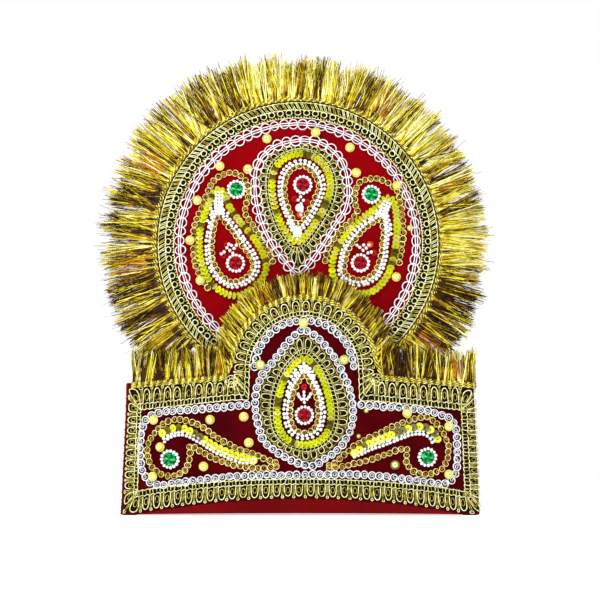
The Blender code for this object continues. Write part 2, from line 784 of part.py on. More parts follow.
def build_silver():
    turn = 142.0
    steps = 40
    line = [halo_point(HALO_SILVER_RADIUS, -turn + 2 * turn * i / steps) for i in range(steps + 1)]
    trim("halo_silver_trim", line, halo_face, SILVER, "silver_trim", False)
    line = [hump_point(HUMP_SILVER_RADIUS, 180 * i / 18) for i in range(19)]
    trim("arch_silver_trim", line, band_face, SILVER, "silver_trim", False)
    trim("halo_drop_silver_trim", even(column(HALO_DROP, 0, 6), 34, True), halo_face, SILVER,
         "silver_trim", True)
    trim("band_drop_silver_trim", even(column(BAND_DROP, 0, 6), 32, True), band_face, SILVER,
         "silver_trim", True)
    trim("left_field_silver_trim", even(smooth(LEFT_FIELD, 6, False), 30, False), band_face, SILVER,
         "silver_trim", False)
    trim("right_field_silver_trim", even(smooth(RIGHT_FIELD, 6, False), 30, False), band_face, SILVER,
         "silver_trim", False)


def build_drop_lace(name, rows, face):
    outer = shifted(picked(column(rows, 0, 12), DROP_CELLS), -(SILVER[0] + 0.6))
    inner = shifted(picked(column(rows, 2, 12), DROP_CELLS), SEQUIN_HALF + 1.6)
    lace(name, outer, inner, face, "gold_lace", True)


def build_drop(name, rows, first, face):
    """The sequins and white beads of a drop or paisley, and the gold coil inside them."""
    sequins = picked(column(rows, first, 8), STATIONS)
    coil = picked(column(rows, first + 2, 8), STATIONS)
    outer, inner = shifted(sequins, SEQUIN_HALF), shifted(coil, BEAD_CLEAR)
    two_rows(name + "_beading", outer, inner, face, "sequin", True)
    trim(name + "_inner_coil", coil, face, COIL, "gold_coil", True)


def build_curl(name, rows, coil):
    sequins = smooth([(r[0], r[1]) for r in rows], 2, False)
    beads = smooth([(r[2], r[3]) for r in rows], 2, False)
    outer, inner = [], []
    for a, b in zip(sequins, beads):
        length = math.dist(a, b)
        step = ((a[0] - b[0]) / length, (a[1] - b[1]) / length)
        outer.append((a[0] + 1.9 * step[0], a[1] + 1.9 * step[1]))
        inner.append((b[0] - 1.1 * step[0], b[1] - 1.1 * step[1]))
    two_rows(name + "_beading", outer, inner, band_face, "sequin", False)
    trim(name + "_coil", even(smooth(coil, 6, True), 36, True), band_face, COIL, "gold_coil", True)


def build_round_pieces():
    for stones, face in ((HALO_STONES, halo_face), (BAND_STONES, band_face)):
        for name, x, z, colour in stones:
            turned(name, x, z, 0.0, STONE_PROFILE, STONE_SIDES, face, colour, True)
    for group, pearls, face in (("halo", HALO_PEARLS, halo_face), ("band", BAND_PEARLS, band_face)):
        for number, (x, z, seat) in enumerate(pearls, 1):
            name = f"{group}_pearl_{number:02d}"
            turned(name, x, z, seat, PEARL_PROFILE, PEARL_SIDES, face, "pearl", False)


def main():
    for old in list(bpy.data.objects):
        bpy.data.objects.remove(old, do_unlink=True)
    build_front_panel()
    build_rear_band()
    build_halo_disc()
    build_band_lace()
    build_halo_lace()
    build_halo_fringe()
    build_band_fringe()
    build_silver()
    build_drop_lace("halo_drop_lace", HALO_DROP, halo_face)
    build_drop_lace("band_drop_lace", BAND_DROP, band_face)
    build_drop("halo_drop", HALO_DROP, 2, halo_face)
    build_drop("band_drop", BAND_DROP, 2, band_face)
    build_drop("left_paisley", LEFT_PAISLEY, 0, halo_face)
    build_drop("right_paisley", RIGHT_PAISLEY, 0, halo_face)
    trim("left_paisley_outer_coil", even(smooth(LEFT_PAISLEY_COIL, 6, False), 34, False), halo_face, COIL,
         "gold_coil", False)
    trim("right_paisley_outer_coil", even(smooth(RIGHT_PAISLEY_COIL, 6, False), 34, False), halo_face, COIL,
         "gold_coil", False)
    build_curl("left_curl", LEFT_CURL, LEFT_CURL_COIL)
    build_curl("right_curl", RIGHT_CURL, RIGHT_CURL_COIL)
    build_round_pieces()


main()
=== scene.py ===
"""Costume crown: velvet boards, corded lace, tinsel fringe, silver loops, coils, sequins, beads and stones.

Sizes are in millimetres and MM turns them into metres. Tables give x and z as seen from the front.
w is the height above a board's front face.
"""

import math

import bmesh
import bpy
import numpy as np
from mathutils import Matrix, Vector


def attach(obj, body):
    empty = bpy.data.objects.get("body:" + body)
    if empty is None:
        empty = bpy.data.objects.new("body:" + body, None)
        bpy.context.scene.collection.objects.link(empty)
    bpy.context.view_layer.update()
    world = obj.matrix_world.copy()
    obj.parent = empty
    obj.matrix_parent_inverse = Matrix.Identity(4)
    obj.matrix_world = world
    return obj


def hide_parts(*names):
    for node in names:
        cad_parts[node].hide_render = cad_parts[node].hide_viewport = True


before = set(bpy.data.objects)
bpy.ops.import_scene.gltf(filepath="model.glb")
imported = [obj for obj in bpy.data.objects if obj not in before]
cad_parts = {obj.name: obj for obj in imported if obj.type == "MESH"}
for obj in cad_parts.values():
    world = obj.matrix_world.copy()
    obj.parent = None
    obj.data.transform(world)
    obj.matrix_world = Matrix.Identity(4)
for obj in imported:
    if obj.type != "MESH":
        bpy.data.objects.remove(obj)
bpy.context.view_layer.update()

MM = 0.001
RNG = np.random.default_rng(6028)

# the boards, with the same sizes as the solids
FRONT_RADIUS = 385.0
FRONT_HALF_ANGLE = math.radians(17.5)
CORNER_RADIUS = 12.0
REAR_HALF_ANGLE = math.radians(65.0)
FLARE = 0.00034
FLARE_HEIGHT = 46.0
WALL = 3.0
SEAT = 0.3
MIDDLE_DEPTH = 53.51
MIDDLE_X = -4.23
PANEL_END = 131.0
ARCH_RISE = 11.0
ARCH_HALF_LENGTH = 116.0
HUMP_X = 2.8
HUMP_Z = 101.0
HUMP_RADIUS = 53.0
SHOULDER_Z = 98.0
SHOULDER_DROP = 5.5
REAR_HEIGHT = 93.0
HALO_X = -1.4
HALO_Z = 191.8
HALO_RADIUS = 104.5
HALO_LEAN = math.tan(math.radians(6.0))
HALO_LOW = HALO_Z - HALO_RADIUS

CORNER_START = FRONT_RADIUS * FRONT_HALF_ANGLE
CORNER_X = (FRONT_RADIUS - CORNER_RADIUS) * math.sin(FRONT_HALF_ANGLE)
CORNER_Y = FRONT_RADIUS - (FRONT_RADIUS - CORNER_RADIUS) * math.cos(FRONT_HALF_ANGLE)
CORNER_TURN = math.pi - REAR_HALF_ANGLE - FRONT_HALF_ANGLE
CORNER_STOP = CORNER_START + CORNER_RADIUS * CORNER_TURN
REAR_RADIUS = CORNER_X / math.sin(REAR_HALF_ANGLE) + CORNER_RADIUS
REAR_Y = CORNER_Y + (CORNER_RADIUS - REAR_RADIUS) * math.cos(REAR_HALF_ANGLE)
HALF_LOOP = CORNER_STOP + REAR_RADIUS * REAR_HALF_ANGLE

# trims
LACE_HEM = 1.3
BRAID_INSET = 0.6
BRAID_WIDTH = 3.2
HUMP_LACE = (38.3, 48.8)
HALO_LACE = (87.9, 99.9)
HALO_LACE_END = 142.0
HALO_BRAID = (100.4, 104.6)
HALO_FRINGE_END = 135.0
HALO_FRINGE_TOP = 125.5
HALO_FRINGE_LEFT = 9.0
HALO_FRINGE_RIGHT = 4.0
HALO_FRINGE_GROWTH = 1.6
HALO_SILVER_RADIUS = 83.9
HUMP_SILVER_RADIUS = 34.5
FRINGE_LENGTH = 21.0
HUMP_FRINGE_LENGTH = 15.0
HUMP_FRINGE_LEAN = 42.0
SEQUIN_HALF = 2.8
BEAD_CLEAR = 1.9
SILVER_HALF = 2.9

# halo drop, point down: silver x z, sequin row x z, gold coil x z
HALO_DROP = (
    (0, 169, -2.5, 191, -1.5, 203),
    (-9.5, 176.5, -8.5, 197.5, -5.5, 209),
    (-19.5, 189, -13.5, 206.5, -8, 214.5),
    (-27.5, 206.5, -17.5, 219.5, -10.5, 223),
    (-31.5, 225, -19, 231.5, -11, 231.5),
    (-30.5, 245, -17, 243.5, -9, 239.5),
    (-19.5, 258.5, -9, 251, -4, 244.5),
    (-0.5, 264, 0.5, 253.5, 0.5, 245.5),
    (16.5, 261, 10, 251, 6, 244),
    (29, 249.5, 17.5, 243.5, 11, 239),
    (34, 232, 20.5, 231.5, 13.5, 230.5),
    (32.5, 216, 17, 218, 10.5, 221.5),
    (23.5, 201.5, 11.5, 208, 6.5, 213.5),
    (13.5, 185.5, 5.5, 199, 3, 208),
)

# band drop, point up: silver x z, sequin row x z, gold coil x z
BAND_DROP = (
    (3, 128.5, 2.5, 109, 3, 98),
    (-8, 120, -5, 103, -1.5, 92.5),
    (-17.5, 108, -10, 94.5, -4.8, 85.5),
    (-26.5, 97, -13.5, 83.5, -6.5, 77.5),
    (-30.8, 83, -15, 72, -7, 70),
    (-29.5, 65.5, -13.5, 60.5, -5.5, 62.5),
    (-22, 48.5, -7, 52.5, -2, 58.5),
    (3, 34.8, 3, 50, 3, 57),
    (16, 38.5, 13, 52.5, 8, 58.5),
    (28.5, 48.5, 19, 60, 11.5, 62.5),
    (36, 63, 20.5, 71, 13, 70),
    (36, 82, 18.5, 83.5, 12.5, 77.5),
    (29, 100, 15, 94.5, 10.5, 85.5),
    (18.5, 117, 9.5, 103.5, 7, 93),
)

# paisleys, from the point round to the right: sequin row x z, gold coil x z
LEFT_PAISLEY = (
    (-57.5, 231.5, -57.5, 210.5),
    (-51, 217, -53, 206),
    (-43, 205.5, -48.5, 200.5),
    (-33.3, 194.5, -41, 189.5),
    (-26.2, 182, -34.8, 180.5),
    (-24.2, 172, -33, 173.5),
    (-31, 161, -37.5, 166.5),
    (-44.5, 153.5, -48, 163),
    (-59.5, 160.5, -57, 169),
    (-67.5, 175, -61.5, 178),
    (-70, 189.5, -62.5, 189),
    (-69, 204, -61.5, 198),
    (-63.5, 219, -60, 206),
)
RIGHT_PAISLEY = (
    (64.5, 224.5, 57, 208.5),
    (67.5, 213.5, 58.5, 203.5),
    (68, 204, 59, 197),
    (67.5, 192.5, 58, 189.5),
    (65, 180.5, 57, 180.5),
    (60.5, 167.5, 52.5, 169.5),
    (50.5, 156.5, 45, 165),
    (36, 156, 37.5, 165),
    (26, 163.5, 31, 169.5),
    (23, 173.5, 31.5, 177.5),
    (26.5, 185.5, 34, 186.5),
    (36, 199, 40, 195),
    (45.5, 208, 46, 201.5),
    (56, 216, 52.5, 206),
)

LEFT_PAISLEY_COIL = (
    (-64, 157.5), (-72.5, 172), (-75.5, 186.5), (-74.5, 204), (-70, 215), (-65.5, 228), (-59, 237.5),
    (-49.5, 241), (-42, 238.7), (-36.8, 231.8), (-36.4, 223.5), (-38.7, 216.5), (-38.3, 209.8),
    (-34.3, 204.5), (-29.8, 197.6), (-25.2, 190), (-21, 182.4), (-19, 175.5),
)
RIGHT_PAISLEY_COIL = (
    (17.5, 176), (20, 186.5), (25.5, 196), (32.5, 203), (38.5, 209.5), (40.5, 215), (38.5, 222),
    (40, 230.5), (45, 235.5), (54, 237), (61.5, 234.5), (67.8, 229.2), (71.3, 220), (73, 204), (72.8, 195),
    (71.6, 184), (69.5, 175.5),
)
LEFT_FIELD = (
    (-34.8, 77), (-50, 75.5), (-67, 74), (-84, 73), (-97, 71.5), (-107, 67), (-110.5, 58), (-111.5, 45),
    (-110.5, 33), (-106, 24.5), (-97, 21.2), (-82, 23.2), (-66.5, 24.9), (-45, 27.2), (-20, 28), (0, 28),
)
RIGHT_FIELD = (
    (40.3, 77), (55, 76), (68, 75), (80, 74), (92, 72), (103, 68.5), (108.5, 62), (109.5, 47),
    (109, 33), (106, 25), (99, 21.7), (86, 23.4), (68, 25.8), (50, 27.6), (32, 28.3), (16, 28.2), (1, 28),
)
LEFT_CURL_COIL = (
    (-100, 59), (-94, 64.5), (-86, 67), (-75.5, 64.8), (-66, 60), (-56.5, 53.3), (-47, 48.2), (-36.5, 44),
    (-24, 39.5), (-15, 35.3), (-21, 33), (-33.5, 32.8), (-46, 35), (-58, 39), (-68.5, 44.2), (-76, 48.5),
    (-76.5, 40), (-79.5, 31.5), (-88.5, 27.5), (-99, 30), (-105.5, 38), (-106, 49),
)
RIGHT_CURL_COIL = (
    (18.5, 33.2), (25, 37.4), (31, 42.5), (38.5, 48.6), (48.5, 54), (61, 60), (73.5, 65), (84, 68.2),
    (92, 66.5), (99, 59), (103.3, 49), (102.5, 38.5), (97, 31.2), (88, 28.4), (79, 30.4), (73.8, 37),
    (74.5, 45.5), (68, 45.3), (59, 42), (47.5, 38.3), (36.5, 35.5), (27, 33.4),
)

# the row of sequins along each curl and the row of white beads below it: sequin x z, bead x z
LEFT_CURL = (
    (-97, 56.2, -95.5, 51),
    (-90, 60, -90, 55),
    (-82, 60.8, -82, 56.5),
    (-74, 57.4, -75, 53.8),
    (-66, 52.5, -67, 49.2),
    (-57.5, 47.2, -58.5, 44),
    (-48, 43, -49, 39.8),
    (-38.5, 40, -39.5, 36.8),
    (-30, 37.8, -30, 36.6),
)
RIGHT_CURL = (
    (36, 42.2, 36.3, 40),
    (40.5, 45.2, 41, 42),
    (47, 49.3, 48, 45.5),
    (57, 53.5, 58, 49.3),
    (67, 57.3, 68, 53),
    (76, 60.5, 77, 56.4),
    (85.5, 61.5, 85.5, 57),
    (92.5, 58, 90.5, 54),
    (96.3, 51, 92.5, 49.5),
)

# cut stones: name, x, z, colour
HALO_STONES = (
    ("halo_drop_stone", 2, 232, "ruby"),
    ("left_paisley_green_stone", -45, 229, "emerald"),
    ("left_paisley_red_stone", -45.5, 176.5, "ruby"),
    ("right_paisley_green_stone", 50.5, 225.5, "emerald"),
    ("right_paisley_red_stone", 42.5, 176.5, "ruby"),
)
BAND_STONES = (
    ("band_drop_stone", 3, 69.5, "ruby"),
    ("left_curl_stone", -90.5, 39, "emerald"),
    ("right_curl_stone", 88.5, 40.5, "emerald"),
)

ON_TRIM = 2.6
# domed pearls: x, z, w of the base, kind
HALO_PEARLS = (
    (-57, 246, SEAT, "cream"),
    (-23.5, 265.3, SEAT, "cream"),
    (-37, 243.5, SEAT, "cream"),
    (-72.5, 221.5, ON_TRIM, "cream"),
    (11, 269.5, ON_TRIM, "cream"),
    (35.5, 259, SEAT, "cream"),
    (40, 241, SEAT, "cream"),
    (68.5, 232, ON_TRIM, "cream"),
    (68, 167, SEAT, "cream"),
    (-77.5, 193, ON_TRIM, "cream"),
)
BAND_PEARLS = (
    (-101.5, 66.5, ON_TRIM, "cream"),
    (-62.5, 66.5, SEAT, "cream"),
    (-39, 68.5, SEAT, "cream"),
    (-97.5, 47.5, SEAT, "cream"),
    (-35.5, 50.5, SEAT, "cream"),
    (-67, 34, SEAT, "cream"),
    (-102, 27, ON_TRIM, "cream"),
    (-27.5, 104.5, ON_TRIM, "lime"),
    (2.5, 133.5, ON_TRIM, "cream"),
    (74, 71, ON_TRIM, "cream"),
    (103.2, 62, ON_TRIM, "cream"),
    (66, 35, SEAT, "olive"),
    (103, 28.5, ON_TRIM, "cream"),
)


# the two faces that trims sit on

def loop_face(s, z, w):
    """Points of the band, s along the loop from the middle of its front and w out from its outer face."""
    s, z, w = np.broadcast_arrays(*[np.asarray(v, float) for v in (s, z, w)])
    reach = np.abs(s)
    front = reach <= CORNER_START
    corner = ~front & (reach <= CORNER_STOP)
    turn = np.where(
        front, reach / FRONT_RADIUS,
        np.where(corner, FRONT_HALF_ANGLE + (reach - CORNER_START) / CORNER_RADIUS,
                 math.pi - REAR_HALF_ANGLE + (reach - CORNER_STOP) / REAR_RADIUS))
    radius = np.where(front, FRONT_RADIUS, np.where(corner, CORNER_RADIUS, REAR_RADIUS))
    x = np.where(corner, CORNER_X, 0.0) + (radius + w) * np.sin(turn)
    y = np.where(front, FRONT_RADIUS, np.where(corner, CORNER_Y, REAR_Y)) - (radius + w) * np.cos(turn)
    x = x * (1.0 + FLARE * (FLARE_HEIGHT - z)) * np.where(s < 0, -1.0, 1.0)
    return np.stack([x - MIDDLE_X, y - MIDDLE_DEPTH, z], -1) * MM


def along(x, z):
    """How far along the loop points of the front panel are, from their x and z as seen from the front."""
    x, z = np.asarray(x, float), np.asarray(z, float)
    return FRONT_RADIUS * np.arcsin(x / (1.0 + FLARE * (FLARE_HEIGHT - z)) / FRONT_RADIUS)


def band_face(x, z, w):
    return loop_face(along(x, z), z, w)


def halo_face(x, z, w):
    """Points w above the halo's front face, which has the panel's bow and leans back."""
    x, z, w = np.broadcast_arrays(*[np.asarray(v, float) for v in (x, z, w)])
    radius = FRONT_RADIUS + w - WALL - SEAT
    turn = np.arcsin(x / FRONT_RADIUS)
    y = FRONT_RADIUS - radius * np.cos(turn) + (z - HALO_LOW) * HALO_LEAN
    return np.stack([radius * np.sin(turn) - MIDDLE_X, y - MIDDLE_DEPTH, z], -1) * MM


def panel_bottom(s):
    return np.maximum(0.0, ARCH_RISE * (1.0 - (np.asarray(s, float) / ARCH_HALF_LENGTH) ** 2))


def shoulder(s):
    reach = (np.abs(np.asarray(s, float) - HUMP_X) - HUMP_RADIUS) / (PANEL_END - HUMP_RADIUS)
    return SHOULDER_Z - SHOULDER_DROP * reach


def hump_point(radius, degrees):
    a = np.radians(degrees)
    return np.stack([HUMP_X + radius * np.cos(a), HUMP_Z + radius * np.sin(a)], -1)


def halo_point(radius, degrees):
    """Points of the halo at an angle from its top, clockwise as seen from the front."""
    a = np.radians(degrees)
    return np.stack([HALO_X + radius * np.sin(a), HALO_Z + radius * np.cos(a)], -1)


# motifs with a closed outline, the two drops first: name, table, place of the sequins in its rows, face
# the place of the gold coil is the next one after the sequins' x and z
MOTIFS = (
    ("halo_drop", HALO_DROP, 2, halo_face),
    ("band_drop", BAND_DROP, 2, band_face),
    ("left_paisley", LEFT_PAISLEY, 0, halo_face),
    ("right_paisley", RIGHT_PAISLEY, 0, halo_face),
)


# plane curves

def smooth(points, per_span, closed):
    """A Catmull-Rom curve through the points."""
    points = [np.asarray(p, float) for p in points]
    count = len(points)
    t = np.arange(per_span)[:, None] / per_span
    result = []
    for i in range(count if closed else count - 1):
        if closed:
            a, b, c, d = [points[(i + k) % count] for k in (-1, 0, 1, 2)]
        else:
            a, b, c, d = [points[min(max(i + k, 0), count - 1)] for k in (-1, 0, 1, 2)]
        result.append(0.5 * (2 * b + (c - a) * t + (2 * a - 5 * b + 4 * c - d) * t ** 2
                             + (3 * b - a - 3 * c + d) * t ** 3))
    if not closed:
        result.append(points[-1][None])
    return np.concatenate(result)


def unit(v):
    return v / np.maximum(np.linalg.norm(v, axis=-1, keepdims=True), 1e-12)


class Line:
    """A line on a face, read by the distance along it."""

    def __init__(self, points, closed):
        self.points = np.asarray(points, float)
        if closed:
            self.points = np.concatenate([self.points, self.points[:1]])
        self.closed = closed
        steps = np.linalg.norm(np.diff(self.points, axis=0), axis=1)
        self.reach = np.concatenate([[0.0], np.cumsum(steps)])
        self.length = self.reach[-1]

    def at(self, distance):
        d = np.asarray(distance, float)
        d = d % self.length if self.closed else np.clip(d, 0.0, self.length)
        return np.stack([np.interp(d, self.reach, self.points[:, k]) for k in (0, 1)], -1)

    def frame_at(self, distance, step=1.2):
        """Points, unit tangents, and the unit vectors to the right of the way along."""
        d = np.asarray(distance, float)
        low, high = d - step, d + step
        if not self.closed:
            low, high = np.maximum(low, 0.0), np.minimum(high, self.length)
        tangent = unit(self.at(high) - self.at(low))
        return self.at(d), tangent, np.stack([tangent[..., 1], -tangent[..., 0]], -1)

    def even(self, pitch, offset):
        """Distances a pitch apart, or nearly, that close up evenly. offset is the first one's, in pitches."""
        count = round(self.length / pitch)
        return (np.arange(count) + offset) * self.length / count

    def parted(self, count):
        """Distances that part the line in equal steps, with its end if it is open."""
        return self.length * np.arange(count if self.closed else count + 1) / count

    def steps(self, size):
        return self.parted(int(self.length / size))


def column(rows, first, per_row):
    """One line of a table, smoothed, as a loop that runs anticlockwise from the first row."""
    line = smooth([(r[first], r[first + 1]) for r in rows], per_row, True)
    x, z = line[:, 0], line[:, 1]
    if np.sum(x * np.roll(z, -1) - np.roll(x, -1) * z) < 0:
        line = np.concatenate([line[:1], line[:0:-1]])
    return line


def picked(line, count):
    """count points of a loop at equal steps of its numbering, so that two loops keep together."""
    at = len(line) * np.arange(count) / count
    k = at.astype(int)
    t = (at - k)[:, None]
    return line[k] + (line[(k + 1) % len(line)] - line[k]) * t


def between(outer, inner, share):
    return outer + (inner - outer) * share


def shifted(points, distance):
    """A loop moved sideways, outward for one that runs anticlockwise."""
    tangent = unit(np.roll(points, -1, 0) - np.roll(points, 1, 0))
    return points + np.stack([tangent[:, 1], -tangent[:, 0]], -1) * distance


# building meshes

def tube_faces(rings, sides, closed):
    """The faces between rings of points, and from the last ring to the first if the tube is closed."""
    i = np.arange(rings if closed else rings - 1)[:, None]
    j = (i + 1) % rings
    k = np.arange(sides)[None]
    m = (k + 1) % sides
    return np.stack([i * sides + k, i * sides + m, j * sides + m, j * sides + k], -1).reshape(-1, 4)


class Piece:
    """Collects points and faces, and makes one mesh object of them."""

    def __init__(self, name):
        self.name = name
        self.points = []
        self.groups = []
        self.count = 0

    def add(self, points, faces, material=0):
        """Faces of one size, with one material for all or one for each."""
        materials = np.broadcast_to(np.asarray(material, int), (len(faces),))
        self.groups.append((faces + self.count, materials))
        self.points.append(points.reshape(-1, 3))
        self.count += len(self.points[-1])

    def stamp(self, template, origins, axes, material=0):
        """Copies of a template, whose axes become the rows of axes: tangent, side and outward.

        A template is its points, its faces and, if they differ, a material for each face.
        """
        shape, faces, *kinds = template
        count = len(origins)
        materials = np.broadcast_to(np.asarray(material, int), (count,))
        offsets = (np.arange(count) * len(shape))[:, None, None] + self.count
        for size in sorted({len(face) for face in faces}):
            chosen = [i for i, face in enumerate(faces) if len(face) == size]
            copies = (np.array([faces[i] for i in chosen])[None] + offsets).reshape(-1, size)
            if kinds:
                self.groups.append((copies, np.tile(np.array(kinds[0])[chosen], count)))
            else:
                self.groups.append((copies, np.repeat(materials, len(chosen))))
        placed = origins[:, None] + np.einsum("vk,nkc->nvc", shape, axes)
        self.points.append(placed.reshape(-1, 3))
        self.count += count * len(shape)

    def tube(self, path, normals, radius, sides, closed, material):
        """A cord along a path. normals keep its section from turning."""
        if closed:
            tangent = unit(np.roll(path, -1, 0) - np.roll(path, 1, 0))
        else:
            tangent = unit(np.gradient(path, axis=0))
        side = unit(np.cross(normals, tangent))
        up = np.cross(tangent, side)
        turn = 2 * math.pi * np.arange(sides) / sides
        rings = path[:, None] + radius * MM * (np.cos(turn)[None, :, None] * side[:, None]
                                               + np.sin(turn)[None, :, None] * up[:, None])
        self.add(rings, tube_faces(len(path), sides, closed), material)
        if not closed:
            ends = np.array([np.arange(sides)[::-1], (len(path) - 1) * sides + np.arange(sides)])
            self.groups.append((ends + self.count - len(path) * sides, np.full(2, material)))

    def grid(self, points, material=0, wrap=False):
        """A sheet through rows of points, joined from the last row to the first if it wraps."""
        rows, across = points.shape[:2]
        i = np.arange(rows if wrap else rows - 1)[:, None]
        j = (i + 1) % rows
        k = np.arange(across - 1)[None]
        faces = np.stack([i * across + k, i * across + k + 1, j * across + k + 1, j * across + k], -1)
        self.add(points, faces.reshape(-1, 4), material)

    def build(self, materials, slot, nodes=(), flat=False):
        points = np.concatenate(self.points).astype(np.float32)
        corners = np.concatenate([f.ravel() for f, _ in self.groups]).astype(np.int32)
        sizes = np.concatenate([np.full(len(f), f.shape[1]) for f, _ in self.groups])
        indices = np.concatenate([m for _, m in self.groups]).astype(np.int32)
        mesh = bpy.data.meshes.new(self.name)
        mesh.vertices.add(len(points))
        mesh.vertices.foreach_set("co", points.ravel())
        mesh.loops.add(len(corners))
        mesh.loops.foreach_set("vertex_index", corners)
        mesh.polygons.add(len(sizes))
        mesh.polygons.foreach_set("loop_start", (np.cumsum(sizes) - sizes).astype(np.int32))
        mesh.polygons.foreach_set("material_index", indices)
        mesh.polygons.foreach_set("use_smooth", np.full(len(sizes), not flat))
        for material in materials:
            mesh.materials.append(material)
        mesh.update(calc_edges=True)
        mesh.validate()
        made = bpy.data.objects.new(self.name, mesh)
        bpy.context.scene.collection.objects.link(made)
        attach(made, "root")
        for node in nodes:
            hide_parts(node)
        return made


def on_face(face, x, z, w):
    """World points and outward normals of a face."""
    points = face(x, z, w)
    return points, unit(face(x, z, np.asarray(w, float) + 1.0) - points)


def seats(face, spots, w, direction):
    """World origins, and axes of one millimetre: along a direction on the face, across it, and outward."""
    x, z = spots[:, 0], spots[:, 1]
    points, normal = on_face(face, x, z, w)
    ahead = face(x + direction[:, 0], z + direction[:, 1], w) - points
    tangent = unit(ahead - normal * np.sum(ahead * normal, -1, keepdims=True))
    side = np.cross(normal, tangent)
    return points, np.stack([tangent, side, normal], -2) * MM


def seat_at(face, x, z, w, direction=(1.0, 0.0)):
    return seats(face, np.array([[x, z]], float), w, np.array([direction], float))


def lay_cord(piece, face, line, w, radius, sides=5, closed=False, material=0):
    """A cord along points of a face."""
    points, normals = on_face(face, line[:, 0], line[:, 1], w)
    piece.tube(points, normals, radius, sides, closed, material)


def lay_sheet(piece, face, spots, w, material, wrap=False):
    """A sheet through rows of points of a face."""
    piece.grid(face(spots[..., 0], spots[..., 1], w), material, wrap)


def wire_template(reach, turn, wire, closed, sides=5):
    """A cord round the outward axis, at the given distances from it and angles."""
    b = 2 * math.pi * np.arange(sides) / sides
    r = reach[:, None] + wire * np.cos(b)[None]
    w = np.broadcast_to(wire * np.sin(b)[None], r.shape)
    shape = np.stack([np.cos(turn)[:, None] * r, np.sin(turn)[:, None] * r, w], -1).reshape(-1, 3)
    return shape, tube_faces(len(reach), sides, closed)[:, [0, 3, 2, 1]]


def ring_template(radius, wire, around):
    return wire_template(np.full(around, radius), 2 * math.pi * np.arange(around) / around, wire, True)


def spiral_template(outer, inner, turns, wire, around):
    """A cord that winds inward over the given number of turns."""
    t = np.linspace(0, 1, around)
    return wire_template(outer + (inner - outer) * t, 2 * math.pi * turns * t, wire, False)


def turned_template(profile, sides, closed_top=True, closed_bottom=True):
    """A lathe shape round the outward axis from (radius, w) pairs, from the bottom up."""
    a = 2 * math.pi * np.arange(sides) / sides
    shape = [np.stack([r * np.cos(a), r * np.sin(a), np.full(sides, w)], -1) for r, w in profile]
    faces = list(tube_faces(len(profile), sides, False))
    if closed_top:
        faces.append(np.arange(sides) + (len(profile) - 1) * sides)
    if closed_bottom:
        faces.append(np.arange(sides)[::-1])
    return np.concatenate(shape), faces


def bead_template(radius, height, sides=9, rings=5):
    """A seed bead: a squat ball with a flat where its hole is, lying on its side along the tangent."""
    profile = []
    for i in range(rings + 1):
        a = math.pi * (0.12 + 0.76 * i / rings)
        profile.append((radius * math.sin(a), -height * math.cos(a)))
    shape, faces = turned_template(profile, sides)
    return shape[:, [2, 0, 1]], faces


# materials

def material(name, colour, roughness, inputs):
    made = bpy.data.materials.new(name)
    made.use_nodes = True
    shader = shader_of(made)
    shader.inputs["Base Color"].default_value = (*colour, 1.0)
    shader.inputs["Roughness"].default_value = roughness
    for key, value in inputs.items():
        shader.inputs[key].default_value = value
    return made


def shader_of(made):
    return made.node_tree.nodes["Principled BSDF"]


def add_node(made, kind, **inputs):
    node = made.node_tree.nodes.new("ShaderNode" + kind)
    for key, value in inputs.items():
        node.inputs[key].default_value = value
    return node


def link(made, output, socket):
    made.node_tree.links.new(output, socket)


def add_noise(made, scale, detail, roughness=0.5):
    """Noise in object space, in steps of about 1 / scale metres."""
    noise = add_node(made, "TexNoise", Scale=scale, Detail=detail, Roughness=roughness)
    link(made, add_node(made, "TexCoord").outputs["Object"], noise.inputs["Vector"])
    return noise.outputs["Fac"]


def paint(made, factor, stops):
    """Colours the surface by a factor, between stops of a place and a colour."""
    ramp = add_node(made, "ValToRGB")
    elements = ramp.color_ramp.elements
    while len(elements) < len(stops):
        elements.new(0.5)
    for element, (at, colour) in zip(elements, stops):
        element.position = at
        element.color = (*colour, 1.0)
    link(made, factor, ramp.inputs["Fac"])
    link(made, ramp.outputs["Color"], shader_of(made).inputs["Base Color"])


def add_bump(made, height, strength):
    bump = add_node(made, "Bump", Strength=strength, Distance=0.0003)
    link(made, height, bump.inputs["Height"])
    link(made, bump.outputs["Normal"], shader_of(made).inputs["Normal"])


def velvet(name, light, dark, tint):
    made = material(name, light, 0.85, {"Sheen Weight": 0.05, "Sheen Roughness": 0.35,
                                        "Sheen Tint": (*tint, 1.0), "Specular IOR Level": 0.03})
    paint(made, add_noise(made, 38.0, 4.0), ((0.3, dark), (0.62, light)))
    add_bump(made, add_noise(made, 2600.0, 2.0), 0.5)
    return made


def woven(name, light, dark, sheen=0.0):
    """Plain-woven cloth, clouded, with its weave in colour and in relief."""
    made = material(name, light, 0.75, {"Sheen Weight": sheen, "Specular IOR Level": 0.1})
    place = add_node(made, "TexCoord")
    weave, shade = add_node(made, "Math"), add_node(made, "Math")
    weave.operation, shade.operation = "MULTIPLY", "MULTIPLY_ADD"
    for k, direction in enumerate("XZ"):
        wave = add_node(made, "TexWave", Scale=420.0, Distortion=0.6, Detail=1.0)
        wave.bands_direction = direction
        link(made, place.outputs["Object"], wave.inputs["Vector"])
        link(made, wave.outputs["Fac"], weave.inputs[k])
    shade.inputs[1].default_value = 0.45
    link(made, weave.outputs["Value"], shade.inputs[0])
    link(made, add_noise(made, 14.0, 2.0), shade.inputs[2])
    paint(made, shade.outputs["Value"], ((0.32, dark), (0.92, light)))
    add_bump(made, weave.outputs["Value"], 0.5)
    return made


